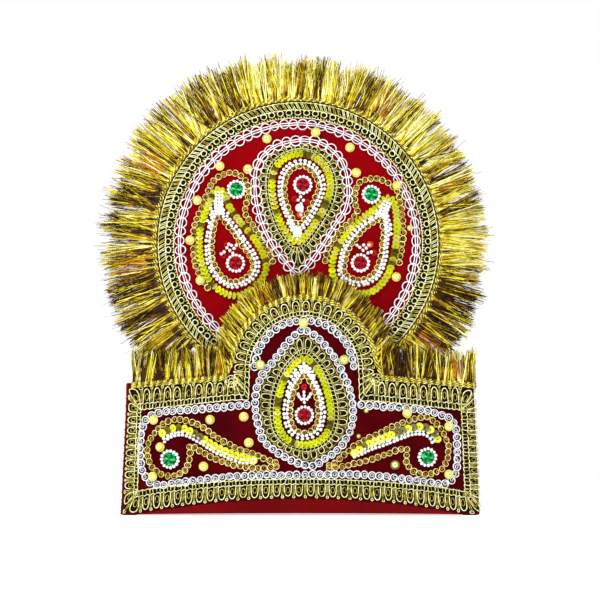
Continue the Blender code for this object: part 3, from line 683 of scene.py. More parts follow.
def metal_thread(name, stops, scale, roughness, metallic, specular=0.5):
    """Metallised thread: bright and dark flecks where the wrapping turns."""
    made = material(name, stops[-1][1], roughness, {"Metallic": metallic, "Specular IOR Level": specular})
    fleck = add_noise(made, scale, 3.0, 0.6)
    paint(made, fleck, stops)
    add_bump(made, fleck, 0.35)
    return made


def glossy(name, light, dark, scale, roughness, coat, specular=0.5):
    made = material(name, light, roughness, {"Coat Weight": coat, "Coat Roughness": 0.08,
                                             "Specular IOR Level": specular})
    paint(made, add_noise(made, scale, 3.0), ((0.32, dark), (0.62, light)))
    return made


# cloths: name, light and dark colour, sheen
CLOTHS = {
    "lining": ("lining_cloth", (0.46, 0.006, 0.01), (0.2, 0.002, 0.004), 0.06),
    # the inside of the rear band: the lining painted lighter to make up for the shade inside the loop
    "lining_painted_lighter": ("inside_cloth_painted_lighter", (0.62, 0.012, 0.016), (0.26, 0.003, 0.006), 0.06),
    "red_thread": ("red_thread", (0.62, 0.03, 0.03), (0.3, 0.005, 0.008), 0.0),
    # a net sheet painted dark for the shade between the lace cords
    "ground": ("net_painted_shade", (0.012, 0.005, 0.001), (0.003, 0.0015, 0.0005), 0.0),
    # a bed painted dark for the shade under coil rings and braid ropes and in pearls' holes
    "dark_bed_painted_shade": ("dark_bed_painted_shade", (0.02, 0.005, 0.001), (0.005, 0.001, 0.0005), 0.0),
    # a bed painted dark for the shade inside the silver rings
    "silver_bed_painted_shade": ("silver_bed_painted_shade", (0.045, 0.042, 0.05), (0.012, 0.012, 0.015), 0.0),
}
# metallised threads: name, dark, middle and light colour, scale of the flecks, roughness, metallic share
THREADS = {
    "lace": ("gold_lace_thread", (0.3, 0.25, 0.012), (0.9, 0.87, 0.24), (1.0, 1.0, 0.78), 420.0, 0.4, 0.12),
    "lace_old": (
        "old_gold_lace_thread",
        (0.06, 0.03, 0.001), (0.42, 0.3, 0.015), (0.84, 0.74, 0.14), 420.0, 0.4, 0.12),
    "braid": ("gold_braid_thread", (0.3, 0.2, 0.004), (0.8, 0.68, 0.03), (1.0, 0.96, 0.24), 620.0, 0.4, 0.12),
    # a strand painted dark for the shade in the braid's twist
    "braid_shade": (
        "dark_braid_thread", (0.02, 0.01, 0.001), (0.14, 0.09, 0.002), (0.5, 0.4, 0.015), 620.0, 0.4, 0.12),
    "silver": ("silver_thread", (0.56, 0.54, 0.62), (0.9, 0.89, 0.95), (1.0, 1.0, 1.0), 420.0, 0.35, 0.1),
    "coil": ("gold_coil_wire", (0.42, 0.24, 0.015), (0.86, 0.7, 0.14), (1.0, 0.94, 0.5), 420.0, 0.35, 0.1),
    "coil_heart": (
        "copper_coil_wire", (0.05, 0.01, 0.001), (0.46, 0.18, 0.006), (0.86, 0.56, 0.04), 420.0, 0.35, 0.1),
}
# glossy things: name, light and dark colour, scale of the clouds, roughness, coat
GLOSSES = {
    "sequin": ("lime_sequin", (0.84, 0.9, 0.012), (0.68, 0.72, 0.004), 260.0, 0.3, 0.4),
    "sequin_pale": ("pale_sequin", (0.86, 0.86, 0.2), (0.76, 0.72, 0.06), 260.0, 0.3, 0.4),
    "sequin_olive": ("olive_sequin", (0.2, 0.17, 0.006), (0.08, 0.06, 0.003), 260.0, 0.3, 0.4),
    "bead": ("white_seed_bead", (1.0, 0.99, 0.97), (0.86, 0.84, 0.82), 400.0, 0.25, 0.3),
    "pearl": ("cream_pearl", (0.92, 0.88, 0.4), (0.82, 0.74, 0.16), 240.0, 0.2, 0.6),
    "pearl_cup": ("yellow_cup", (0.8, 0.72, 0.1), (0.56, 0.44, 0.02), 240.0, 0.28, 0.4),
    "lime_cup": ("lime_cup", (0.6, 0.64, 0.09), (0.34, 0.4, 0.03), 240.0, 0.28, 0.4),
}
# foil-backed glass: name, light and dark colour. Each colour has a copy painted darker as shade on some
# facets and one painted lighter as glints on others
GLASSES = {
    "emerald": ("green_glass", (0.0, 0.3, 0.055), (0.0, 0.18, 0.03)),
    "emerald_painted_shade": ("green_glass_painted_shade", (0.0, 0.06, 0.012), (0.0, 0.02, 0.004)),
    "emerald_glint": ("green_glass_glint", (0.1, 0.75, 0.3), (0.0, 0.45, 0.12)),
    "ruby": ("red_glass", (0.3, 0.0, 0.008), (0.17, 0.0, 0.004)),
    "ruby_painted_shade": ("red_glass_painted_shade", (0.07, 0.0, 0.003), (0.03, 0.0, 0.001)),
    "ruby_glint": ("red_glass_glint", (0.62, 0.01, 0.025), (0.4, 0.0, 0.008)),
    "red_cup": ("red_cup", (0.4, 0.003, 0.004), (0.2, 0.0, 0.0)),
    "orange_cup": ("orange_cup", (0.75, 0.1, 0.005), (0.5, 0.04, 0.0)),
}
# tinsel: name, dark and light colour
TINSELS = (
    ("tinsel_yellow", (0.64, 0.5, 0.008), (0.92, 0.82, 0.04)),
    ("tinsel_pale", (0.88, 0.83, 0.14), (1.0, 0.98, 0.52)),
    ("tinsel_gold", (0.3, 0.17, 0.004), (0.58, 0.4, 0.014)),
    ("tinsel_amber", (0.13, 0.04, 0.001), (0.34, 0.15, 0.005)),
    ("tinsel_brown", (0.012, 0.005, 0.0005), (0.06, 0.024, 0.001)),
    ("tinsel_orange", (0.3, 0.08, 0.002), (0.62, 0.25, 0.008)),
)

MATERIALS = {
    "halo_velvet": velvet("halo_velvet", (0.23, 0.0, 0.002), (0.16, 0.0, 0.0015), (1.0, 0.05, 0.05)),
    "band_velvet": velvet("band_velvet", (0.08, 0.0, 0.002), (0.042, 0.0, 0.001), (0.8, 0.03, 0.03)),
}
MATERIALS.update({key: woven(*row) for key, row in CLOTHS.items()})
for key, (name, dark, middle, light, *rest) in THREADS.items():
    MATERIALS[key] = metal_thread(name, ((0.34, dark), (0.47, middle), (0.62, light)), *rest)
MATERIALS.update({key: glossy(*row) for key, row in GLOSSES.items()})
MATERIALS.update({key: glossy(*row, 300.0, 0.12, 0.05, 0.12) for key, row in GLASSES.items()})


def looks(*names):
    return [MATERIALS[name] for name in names]


# velvet-covered boards

FOLD = 0.3 * WALL  # how far the cloth rounds out past a board's edge
HEM = 9.0
STITCH_INSET = 1.6  # from a hem's edge to its stitches
TURN_OVER = 8.5  # how wide the velvet is that is turned onto a board's back
STITCH = bead_template(0.34, 1.25, 6, 4)


def rim(sheet):
    """The points round a sheet of (rows, across, 3)."""
    return np.concatenate([sheet[0, :-1], sheet[:-1, -1], sheet[-1, :0:-1], sheet[:0:-1, 0]])


def make_board(name, front, back, slot, back_cloth, node):
    """Two sheets joined round their edge by a rounded fold."""
    piece = Piece(name)
    piece.grid(front, 0)
    piece.grid(back[:, ::-1], 1)
    edge_front, edge_back = rim(front), rim(back)
    middle = (edge_front + edge_back) / 2
    across = edge_front - edge_back
    ahead = unit(np.roll(middle, -1, 0) - np.roll(middle, 1, 0))
    out = unit(np.cross(ahead, unit(across)))
    if np.mean(np.sum(out * (middle - middle.mean(0)), 1)) < 0:
        out = -out
    rows = [edge_front]
    for a in (math.pi * 0.25, math.pi * 0.5, math.pi * 0.75):
        rows.append(middle + across * math.cos(a) / 2 + out * math.sin(a) * FOLD * MM)
    rows.append(edge_back)
    piece.grid(np.stack(rows, 1), 0, wrap=True)
    made = piece.build(looks(slot, back_cloth), slot, (node,))
    # the points that meet are joined, and the faces turned outward
    shape = bmesh.new()
    shape.from_mesh(made.data)
    bmesh.ops.remove_doubles(shape, verts=shape.verts, dist=0.00002)
    bmesh.ops.recalc_face_normals(shape, faces=shape.faces)
    shape.to_mesh(made.data)
    shape.free()


def stitch_row(piece, face, points, pitch, w, closed=False, material=0):
    """Running stitches along points of a face."""
    line = Line(points, closed)
    spots, tangent, _ = line.frame_at(line.even(pitch, 0.5))
    piece.stamp(STITCH, *seats(face, spots, w, tangent), material)


def make_turned_edge(name, face, edge, closed, toward, slot):
    """Velvet turned over a board's edge onto its back, toward a point, in small pleats and sewn down."""
    piece = Piece(name)
    count = len(edge)
    line = Line(edge, closed)
    distance = line.parted(count if closed else count - 1)
    spots, _, inward = line.frame_at(distance)
    if np.mean(np.sum(inward * (np.asarray(toward) - spots), 1)) < 0:
        inward = -inward
    pleat = 0.5 + 0.5 * np.sin(distance * 2 * math.pi / 9.0 + 1.5 * np.sin(distance / 23.0))
    width = TURN_OVER + 0.7 * np.sin(distance / 6.1) + 0.5 * np.sin(distance / 2.7 + 1.0)
    # how far across the strip each of its lines lies, and how much it swells there
    share = np.array([0.0, 0.1, 0.35, 0.7, 0.97, 1.0])
    swell = np.array([0.0, 0.35, 0.4, 0.35, 0.3, 0.02])
    ribbon = spots[:, None] + inward[:, None] * (width[:, None] * share)[..., None]
    lay_sheet(piece, face, ribbon, -WALL - swell[None] * (0.6 + 0.8 * pleat[:, None]), 0, closed)
    stitch_row(piece, face, spots + inward * (TURN_OVER - 2.2), 4.2, -WALL - 0.45, closed, 1)
    piece.build(looks(slot, "red_thread"), slot)


def make_front_panel():
    left = np.linspace(FOLD - PANEL_END, along(HUMP_X - HUMP_RADIUS - 1.5, SHOULDER_Z), 60)
    right = np.linspace(along(HUMP_X + HUMP_RADIUS + 1.5, SHOULDER_Z), PANEL_END - FOLD, 60)
    arch = hump_point(HUMP_RADIUS - FOLD, np.linspace(180, 0, 64))
    s = np.concatenate([left, along(arch[:, 0], arch[:, 1]), right])
    top = np.concatenate([shoulder(left) - FOLD, arch[:, 1], shoulder(right) - FOLD])
    low = panel_bottom(s)[:, None] + FOLD
    z = low + (top[:, None] - low) * np.linspace(0, 1, 26)[None]
    make_board("front_panel_velvet", loop_face(s[:, None], z, 0.0), loop_face(s[:, None], z, -WALL),
               "band_velvet", "lining", "front_panel")
    foot = np.linspace(FOLD - PANEL_END, PANEL_END - FOLD, 200)
    for name, edge, toward in (
        ("front_panel_turned_top", np.stack([s, top], -1), (0.0, -1000.0)),
        ("front_panel_turned_foot", np.stack([foot, panel_bottom(foot) + FOLD], -1), (0.0, 1000.0)),
    ):
        make_turned_edge(name, loop_face, edge, False, toward, "band_velvet")


def rear_face(s, z, w):
    """The rear band's outer face, with s running on past the middle of the back."""
    return loop_face(np.where(s > HALF_LOOP, s - 2 * HALF_LOOP, s), z, w)


def make_rear_band():
    start, end = PANEL_END + SEAT + FOLD, 2 * HALF_LOOP - (PANEL_END + SEAT + FOLD)
    top_hem = REAR_HEIGHT - HEM
    s = np.linspace(start, end, 330)[:, None]
    z = np.concatenate([np.linspace(FOLD, HEM - 0.5, 8), np.linspace(HEM + 0.3, top_hem - 0.3, 18),
                        np.linspace(top_hem + 0.5, REAR_HEIGHT - FOLD, 8)])[None]
    # soft cloth over the board: shallow hollows that fade out at the hems
    dent = -0.35 * np.sin(s / 17.0 + 0.7) * np.sin(np.pi * z / REAR_HEIGHT) * np.sin(z / 21.0 + s / 40.0) ** 2
    # the hems are doubled cloth, drawn in between the stitches
    from_edge = np.minimum(z, REAR_HEIGHT - z)
    draw = np.exp(-((from_edge - HEM + STITCH_INSET) / 1.4) ** 2)
    dent = dent + np.where(from_edge < HEM, 0.35, 0.0)
    dent = dent - 0.3 * draw * (0.6 + 0.4 * np.sin(s * 2 * math.pi / 7.6))
    # the inside of the band gets the lining painted lighter, to make up for the shade inside the loop
    make_board("rear_band_cloth", rear_face(s, z, dent), rear_face(s, z, -WALL),
               "lining", "lining_painted_lighter", "rear_band")
    piece = Piece("rear_band_stitches")
    s = np.linspace(start + 1.0, end - 1.0, 160)
    for height in (HEM - STITCH_INSET, REAR_HEIGHT - HEM + STITCH_INSET):
        for w in (0.15, -WALL - 0.05):
            stitch_row(piece, rear_face, np.stack([s, np.full(160, height)], -1), 3.8, w)
    # overcast stitches that close the cloth's ends on the front panel
    z = np.arange(5.0, REAR_HEIGHT - 8.0, 5.5)
    for s, slant in ((PANEL_END + 0.4, 0.3), (2 * HALF_LOOP - PANEL_END - 0.4, -0.3)):
        spots = np.stack([np.full(len(z), s), z], -1)
        for w in (0.0, -WALL - 0.1):
            origins, axes = seats(rear_face, spots, w, np.tile([1.0, slant], (len(z), 1)))
            piece.stamp(STITCH, origins, axes * 1.3)
    piece.build(looks("red_thread"), "lining")


def make_halo_board():
    steps = 96
    a = math.pi * np.arange(1, steps) / steps
    radius = HALO_RADIUS - FOLD
    x = (HALO_X - radius * np.cos(a))[:, None]
    z = HALO_Z + (radius * np.sin(a))[:, None] * np.linspace(-1, 1, 49)[None]
    make_board("halo_velvet_board", halo_face(x, z, 0.0), halo_face(x, z, -WALL),
               "halo_velvet", "lining", "halo_disc")
    make_turned_edge("halo_turned_edge", halo_face, halo_point(radius, np.linspace(0, 360, 361)[:-1]), True,
                     (HALO_X, HALO_Z), "halo_velvet")


# lace

GOLD, PAINTED_SHADE_NET, OLD_GOLD = range(3)
NET_W = 0.45  # height of the dark sheet under the cords, painted in for the shade between them


class Lace(Piece):
    """A run of lace between two matched lines.

    u counts its cells along it, and v goes from 0 on its outer line to 1 on its inner one.
    """

    def __init__(self, name, outer, inner, face, pitch, closed):
        super().__init__(name)
        if closed:
            outer, inner = [np.concatenate([line, line[:1]]) for line in (outer, inner)]
        self.lines = (outer, inner)
        steps = np.linalg.norm(np.diff((outer + inner) / 2, axis=0), axis=1)
        self.reach = np.concatenate([[0.0], np.cumsum(steps)])
        self.cells = round(self.reach[-1] / pitch)
        self.pitch = self.reach[-1] / self.cells
        self.width = float(np.mean(np.linalg.norm(inner - outer, axis=1)))
        self.face, self.closed = face, closed
        u = np.linspace(0, self.cells, self.cells * 3 + 1)[:, None]
        # a sheet under the cords painted dark for the shade between them
        lay_sheet(self, face, self.at(u, np.linspace(0.04, 0.98, 5)[None]), NET_W, PAINTED_SHADE_NET)

    def at(self, u, v):
        u, v = np.broadcast_arrays(np.asarray(u, float), np.asarray(v, float))
        d = np.clip((u % self.cells if self.closed else u) * self.pitch, 0, self.reach[-1])
        a, b = [np.stack([np.interp(d, self.reach, line[:, k]) for k in (0, 1)], -1) for line in self.lines]
        return a + (b - a) * v[..., None]

    def cord(self, u, v, w, radius, sides=4, material=GOLD, closed=False):
        lay_cord(self, self.face, self.at(u, v), w, radius, sides, closed, material)

    def hoop(self, u, v, half_u, half_v, w, radius, material=GOLD):
        turn = np.linspace(0, 2 * math.pi, 15)[:-1]
        self.cord(u + half_u * np.sin(turn), v + half_v * np.cos(turn), w, radius, 5, material, True)

    def bars(self, cell, v, rise, radius, leans):
        """Three short bars at the inner edge of a cell."""
        for k in range(3):
            u = cell + (k + 0.5) / 3 + RNG.normal(0, 0.02)
            self.cord(u + np.array(leans()), v, np.array(rise), radius, 4, (GOLD, OLD_GOLD)[k % 2])

    def chain(self, v, swing, waves, w, radius, material=GOLD):
        """A cord that waves along the lace."""
        u = np.arange(self.cells * 6 + (0 if self.closed else 1)) / 6
        turn = 2 * math.pi * u * waves
        self.cord(u, v + swing * np.sin(turn), w + 0.2 * np.cos(turn), radius, 5, material, self.closed)

    def finish(self, node):
        self.build(looks("lace", "ground", "lace_old"), "gold_lace", (node,))


def make_open_lace(name, outer, inner, face, node):
    """Narrow lace: a square opening in each cell between fine cords, with twin cords between two cells."""
    lace = Lace(name, outer, inner, face, 6.0, True)
    t = np.linspace(0, 1, 11)
    for cell in range(lace.cells):
        shake = RNG.normal(0, 0.025, 5)
        c = cell + 0.5 + shake[0]
        u = c - 0.33 * np.cos(math.pi * t)
        v = 0.68 - (0.56 + shake[1]) * np.sin(math.pi * t) ** 0.4
        lace.cord(u, v, 1.2 + 0.4 * np.sin(math.pi * t), 0.3, 5)
        lace.cord([c - 0.28, c, c + 0.28], [0.66, 0.56 + shake[2], 0.66], 1.0, 0.24, 4, OLD_GOLD)
        lace.cord([cell, cell + 0.12 * shake[3], cell], [0.72, 0.4, 0.06], 1.0, 0.22, 4, OLD_GOLD)
        for k in (0.25, 0.75):
            lace.cord([cell + k, cell + k + shake[4]], [0.72, 0.98], 1.2, 0.24)
    lace.chain(0.72, 0.03, 2.0, 1.6, 0.26)
    lace.chain(0.98, 0.02, 2.0, 1.4, 0.24)
    lace.chain(0.05, 0.03, 3.0, 1.2, 0.22, OLD_GOLD)
    lace.finish(node)


def lay_rosette(piece, face, x, z, radius):
    """A round motif: a patch of net painted dark for the shade of an opening, in a ring of small loops."""
    centre = np.array([x, z])
    a = 2 * math.pi * np.arange(24) / 24
    way = np.stack([np.cos(a), np.sin(a)], -1)
    rows = centre + way[:, None] * (radius * np.array([0.0, 0.5, 1.0]))[None, :, None]
    lay_sheet(piece, face, rows, NET_W, PAINTED_SHADE_NET, True)
    for share, w in ((0.45, 1.3), (0.98, 1.1)):
        lay_cord(piece, face, centre + way * radius * share, w, 0.28, 5, True)
    for k in range(9):
        turn = 2 * math.pi * k / 9
        spoke = np.array([math.cos(turn), math.sin(turn)]) * (radius * np.array([[0.48], [0.72], [0.95]]))
        lay_cord(piece, face, centre + spoke, 1.15, 0.22, 4, False, (GOLD, OLD_GOLD)[k % 2])


def make_hooped_lace(name, outer, inner, face, node, rosettes):
    """Lace with a U-shaped hoop in each cell round an opening where the net is painted dark for shade, short
    bars behind it and picots.
    """
    lace = Lace(name, outer, inner, face, 7.7, True)
    t = np.linspace(0, 1, 15)
    for cell in range(lace.cells):
        shake = RNG.normal(0, 0.02, 6)
        c = cell + 0.5 + shake[0]
        # the hoop: up one side, round the hem and down the other, with a smaller hoop in it
        u = c - 0.36 * np.cos(math.pi * t) * (1.0 - 0.12 * np.abs(np.cos(math.pi * t)))
        v = 0.7 - (0.62 + shake[1]) * np.sin(math.pi * t) ** 0.55
        lace.cord(u, v, 1.2 + 0.5 * np.sin(math.pi * t), 0.37, 5)
        lace.hoop(c, 0.44 + shake[2], 0.17, 0.15, 0.95, 0.26, OLD_GOLD)
        # twin cords between two hoops, and a picot
        for side in (-0.05, 0.06):
            u = cell + side + shake[3] + np.array([0.0, 0.02, -0.01, 0.0])
            lace.cord(u, [0.72, 0.5, 0.25, 0.1], 0.95, 0.27, 4, OLD_GOLD)
        lace.hoop(cell + shake[4], 0.05, 0.8 / lace.pitch, 0.8 / lace.width, 1.35, 0.28)

        def lean():
            tip = RNG.normal(0, 0.05)
            return 0.0, 0.5 * tip, tip

        lace.bars(cell, [0.74, 0.87, 1.0], (1.2, 1.6, 1.1), 0.3, lean)
    lace.chain(0.72, 0.035, 2.0, 1.75, 0.33)
    lace.chain(0.97, 0.025, 2.0, 1.5, 0.33)
    for x, z, radius in rosettes:
        lay_rosette(lace, face, x, z, radius)
    lace.finish(node)


def make_slanted_lace(name, outer, inner, face, node):
    """Lace with long slanting loops outside, a row of openings where the net is painted dark for shade and
    short bars at its inner edge.
    """
    lace = Lace(name, outer, inner, face, 6.4, False)
    t = np.linspace(0, 1, 9)
    legs = np.concatenate([t, t[::-1][1:]])
    for cell in range(lace.cells):
        shake = RNG.normal(0, 0.03, 6)
        for k in range(2):
            # a loop of two legs that lean together
            start = cell + 0.5 * k + shake[k]
            lean = 0.42 + shake[2 + k]
            gap = np.concatenate([np.zeros(9), np.full(8, 0.2)]) * (1.0 - 0.3 * legs)
            u = np.clip(start + lean * (1.0 - legs) + gap - 0.3, 0, lace.cells)
            w = 1.25 + 0.35 * np.sin(math.pi * legs)
            lace.cord(u, 0.5 - 0.46 * legs, w, 0.29, 4, (GOLD, GOLD, OLD_GOLD)[(cell + k) % 3])
        lace.hoop(cell + 0.5 + shake[4], 0.65, 0.34, 0.155, 1.5, 0.34)
        lace.bars(cell, [0.84, 0.91, 0.99], (1.1, 1.5, 1.1), 0.28, lambda: (0.0, 0.06, 0.0))
    lace.chain(0.05, 0.02, 2.0, 1.4, 0.3)
    lace.chain(0.49, 0.025, 2.0, 1.7, 0.3)
    lace.chain(0.97, 0.02, 2.0, 1.4, 0.3)
    lace.finish(node)


def band_lace_lines():
    """Matched outer and inner points round the front panel, by s and z.

    The inner points stand square across from the outer ones, and the lace fans round its corners.
    """
    left_in, right_in, left_end, right_end = -113.5, 115.0, -123.8, 130.3
    below = BRAID_INSET + BRAID_WIDTH + 0.4
    outer, inner = [], []

    def run(a, b):
        outer.append(np.stack(np.broadcast_arrays(*a), -1))
        inner.append(np.stack(np.broadcast_arrays(*b), -1))

    def hem(s):
        return panel_bottom(s) + LACE_HEM

    def inner_hem(s):
        return hem(s) + 13.2 + 2.2 * np.minimum(1.0, (np.asarray(s, float) / 97.0) ** 2)

    def inner_top(s):
        return 79.5 - 5.9 * (np.abs(np.asarray(s, float)) - 50.0) / 60.0

    def run_up(end, inside, z):
        run((end, z), (inside, np.clip(z, inner_hem(inside), inner_top(inside))))

    def run_under_braid(start, end):
        s = np.linspace(start, end, 61)
        u = np.clip(s, left_in, right_in)
        run((s, shoulder(s) - below), (u, inner_top(u)))

    def hump_foot(side):
        """Where the edges of the hump's lace start, on its right for 1 and on its left for -1."""
        return [float(along(HUMP_X + side * r, HUMP_Z)) for r in (HUMP_LACE[1], HUMP_LACE[0] - 0.4)]

    s = np.linspace(left_end, right_end, 161)
    u = np.clip(s, left_in, right_in)
    run((s, hem(s)), (u, inner_hem(u)))
    run_up(right_end, right_in, np.linspace(hem(right_end), shoulder(right_end) - below, 51))
    foot, inside = hump_foot(1)
    run_under_braid(right_end, foot)
    t = np.linspace(0, 1, 13)
    run((np.full(13, foot), shoulder(foot) - below), (foot + (inside - foot) * t, inner_top(foot)))
    over = np.linspace(0, 180, 91)
    a, b = hump_point(HUMP_LACE[1], over), hump_point(HUMP_LACE[0] - 0.7, over)
    run((along(a[:, 0], a[:, 1]), a[:, 1]), (along(b[:, 0], b[:, 1]), b[:, 1]))
    foot, inside = hump_foot(-1)
    run((np.full(13, foot), shoulder(foot) - below), (inside + (foot - inside) * t, inner_top(foot)))
    run_under_braid(foot, left_end)
    run_up(left_end, left_in, np.linspace(shoulder(left_end) - below, hem(left_end), 51))
    return np.concatenate(outer), np.concatenate(inner)


def make_laces():
    outer, inner = band_lace_lines()
    rosettes = ((-48.6, 93.2, 4.2), (54.2, 94.2, 4.2))
    make_hooped_lace("band_lace_cords", outer, inner, loop_face, "band_lace", rosettes)
    angles = np.linspace(-HALO_LACE_END, HALO_LACE_END, 240)
    outer, inner = [halo_point(radius, angles) for radius in (HALO_LACE[1], HALO_LACE[0])]
    make_slanted_lace("halo_lace_cords", outer, inner, halo_face, "halo_lace")
    for name, rows, first, face in MOTIFS[:2]:
        outer = shifted(column(rows, 0, 12), -(SILVER_HALF + 0.3))
        inner = shifted(column(rows, first, 12), SEQUIN_HALF + 0.4)
        nearest = np.argmin(np.linalg.norm(outer[:, None] - inner[None], axis=2), 1)
        make_open_lace(name + "_lace_cords", outer, inner[nearest], face, name + "_lace")


# fringe

FRINGE_LOOKS = [
    metal_thread(name, ((0.36, dark), (0.6, light)), 160.0, 0.4, 0.05, 0.12) for name, dark, light in TINSELS
] + looks("braid", "dark_bed_painted_shade", "braid_shade")
YELLOW, PALE, DEEP_GOLD, AMBER, BROWN, ORANGE, BRAID, BRAID_PAINTED_SHADE_BED, PAINTED_SHADE_BRAID = range(9)
TUFT_WIDTH = 4.0
ROPE_RADIUS = 0.52
ROPE_PITCH = 4.6


def lay_rope(piece, face, points, w):
    """A gold strand and a strand painted dark for the shade in the twist, both twisted round a line on a
    face.
    """
    line = Line(points, False)
    distance = np.linspace(0, line.length, int(line.length / ROPE_PITCH * 7))
    spots, _, side = line.frame_at(distance)
    for phase, kind in ((0.0, BRAID), (math.pi, PAINTED_SHADE_BRAID)):
        turn = 2 * math.pi * distance / ROPE_PITCH + phase
        across = spots + side * (ROPE_RADIUS * np.cos(turn))[:, None]
        lay_cord(piece, face, across, w + ROPE_RADIUS * np.sin(turn), ROPE_RADIUS * 0.95, 5, False, kind)


def lock_length(number, length):
    """The locks' lengths, in the same pattern as the solids."""
    return length * (1.0 + 0.07 * np.sin(2.4 * number) + 0.05 * np.sin(5.3 * number + 1.0))


def halo_fringe_tip(degrees):
    extra = np.where(degrees > 0.0, HALO_FRINGE_RIGHT, HALO_FRINGE_LEFT)
    grown = np.radians(np.minimum(90.0, HALO_FRINGE_GROWTH * np.abs(degrees)))
    return HALO_FRINGE_TOP + extra * np.sin(grown)


def lay_strands(piece, face, roots, directions, lengths, gloom, density, spread, lift, lock_width):
    """Tinsel strands from a line of roots. Each is a thin twisted ribbon of five parts.

    directions, lengths and gloom are given for each root, and gloom is how much of the tinsel there is brown.
    density counts strands to the millimetre, spread is how far they lean apart in radians, lift is how
    steeply they rise from the face, and lock_width is how wide the locks are within the tufts.
    """
    line = Line(roots, False)
    count = int(line.length * density)
    place = np.sort(RNG.uniform(0, line.length, count))
    spots = line.at(place)
    toward = unit(np.stack([np.interp(place, line.reach, directions[:, k]) for k in (0, 1)], -1))
    # the strands of a tuft lean and shine together, and so do those of a lock
    tufts, locks = int(line.length / TUFT_WIDTH) + 2, int(line.length / lock_width) + 2
    tuft = np.clip(((place + RNG.normal(0, 0.9, count)) / TUFT_WIDTH).astype(int), 0, tufts - 1)
    lock = np.clip(((place + RNG.normal(0, 0.3, count)) / lock_width).astype(int), 0, locks - 1)

    def varied(middle, by_tuft, by_lock, by_strand):
        return (RNG.normal(middle, by_tuft, tufts)[tuft] + RNG.normal(0, by_lock, locks)[lock]
                + RNG.normal(0, by_strand, count))

    lean = varied(0, spread * 0.8, spread * 0.9, spread * 0.5)
    ahead = np.stack([toward[:, 0] * np.cos(lean) - toward[:, 1] * np.sin(lean),
                      toward[:, 0] * np.sin(lean) + toward[:, 1] * np.cos(lean)], -1)
    cross = np.stack([-ahead[:, 1], ahead[:, 0]], -1)
    share = varied(0.97, 0.045, 0.05, 0.03)
    hair = RNG.uniform(0, 1, count) < 0.03
    size = np.interp(place, line.reach, lengths) * np.where(hair, 1.12, np.clip(share, 0.55, 1.08))
    bend = RNG.normal(0, 0.04, tufts)[tuft] + RNG.normal(0, 0.03, count)
    base_w = RNG.uniform(0.5, 2.4, count)
    rise = RNG.normal(0.0, 0.05, count) + lift
    half = np.where(hair, 0.2, RNG.uniform(0.24, 0.38, count))
    twist = RNG.uniform(-1.3, 1.3, count)
    crinkle, phase = RNG.normal(0, 0.3, count), RNG.uniform(0, 6.28, count)
    parts = 5
    edges = []
    for t in [i / parts for i in range(parts + 1)]:
        sway = size * bend * t * t + crinkle * t * np.sin(phase + 7.5 * t)
        centre = spots + ahead * (size * t)[:, None] + cross * sway[:, None]
        turn = twist * (0.4 + t)
        narrow = half * (1.0 - 0.3 * t)
        for sign in (-1, 1):
            spot = centre + cross * (sign * narrow * np.cos(turn))[:, None]
            w = base_w + size * t * rise + sign * narrow * np.sin(turn)
            edges.append(face(spot[:, 0], spot[:, 1], w))
    strip = np.array([(2 * i, 2 * i + 1, 2 * i + 3, 2 * i + 2) for i in range(parts)])
    faces = strip[None] + (np.arange(count) * len(edges))[:, None, None]
    tone = (RNG.uniform(0, 0.3, tufts)[tuft] + RNG.uniform(-0.1, 0.62, locks)[lock]
            + RNG.uniform(-0.2, 0.3, count) + 0.75 * (np.interp(place, line.reach, gloom) - 0.5))
    # a strand is painted darker at its root, where the strands shade each other, and lighter at its tip
    tone = tone[:, None] + np.array([0.26, 0.1, 0.0, -0.04, -0.06]) * RNG.uniform(0.2, 1.3, count)[:, None]
    dark_tip = RNG.uniform(0, 1, count) < 0.22
    tone[dark_tip, 3:] += 0.35
    tone[hair] = 1.0
    darker = [tone < limit for limit in (0.22, 0.48, 0.58, 0.68)]
    kinds = np.select(darker, [PALE, YELLOW, DEEP_GOLD, AMBER], BROWN)
    glow = (np.sin(place / 9.0) + np.sin(place / 5.3 + 2.0) > 1.45) & (RNG.uniform(0, 1, count) < 0.5)
    kinds[glow, 1:4] = ORANGE
    piece.add(np.stack(edges, 1), faces.reshape(-1, 4), kinds.ravel())


def lay_braid(piece, face, bed, heights, cords):
    """Ropes side by side on a bed painted dark for the shade between them. bed is the bed's lines and cords
    the ropes' lines and heights.
    """
    lay_sheet(piece, face, np.stack(bed, 1), np.array(heights), BRAID_PAINTED_SHADE_BED)
    for points, w in cords:
        lay_rope(piece, face, points, w)


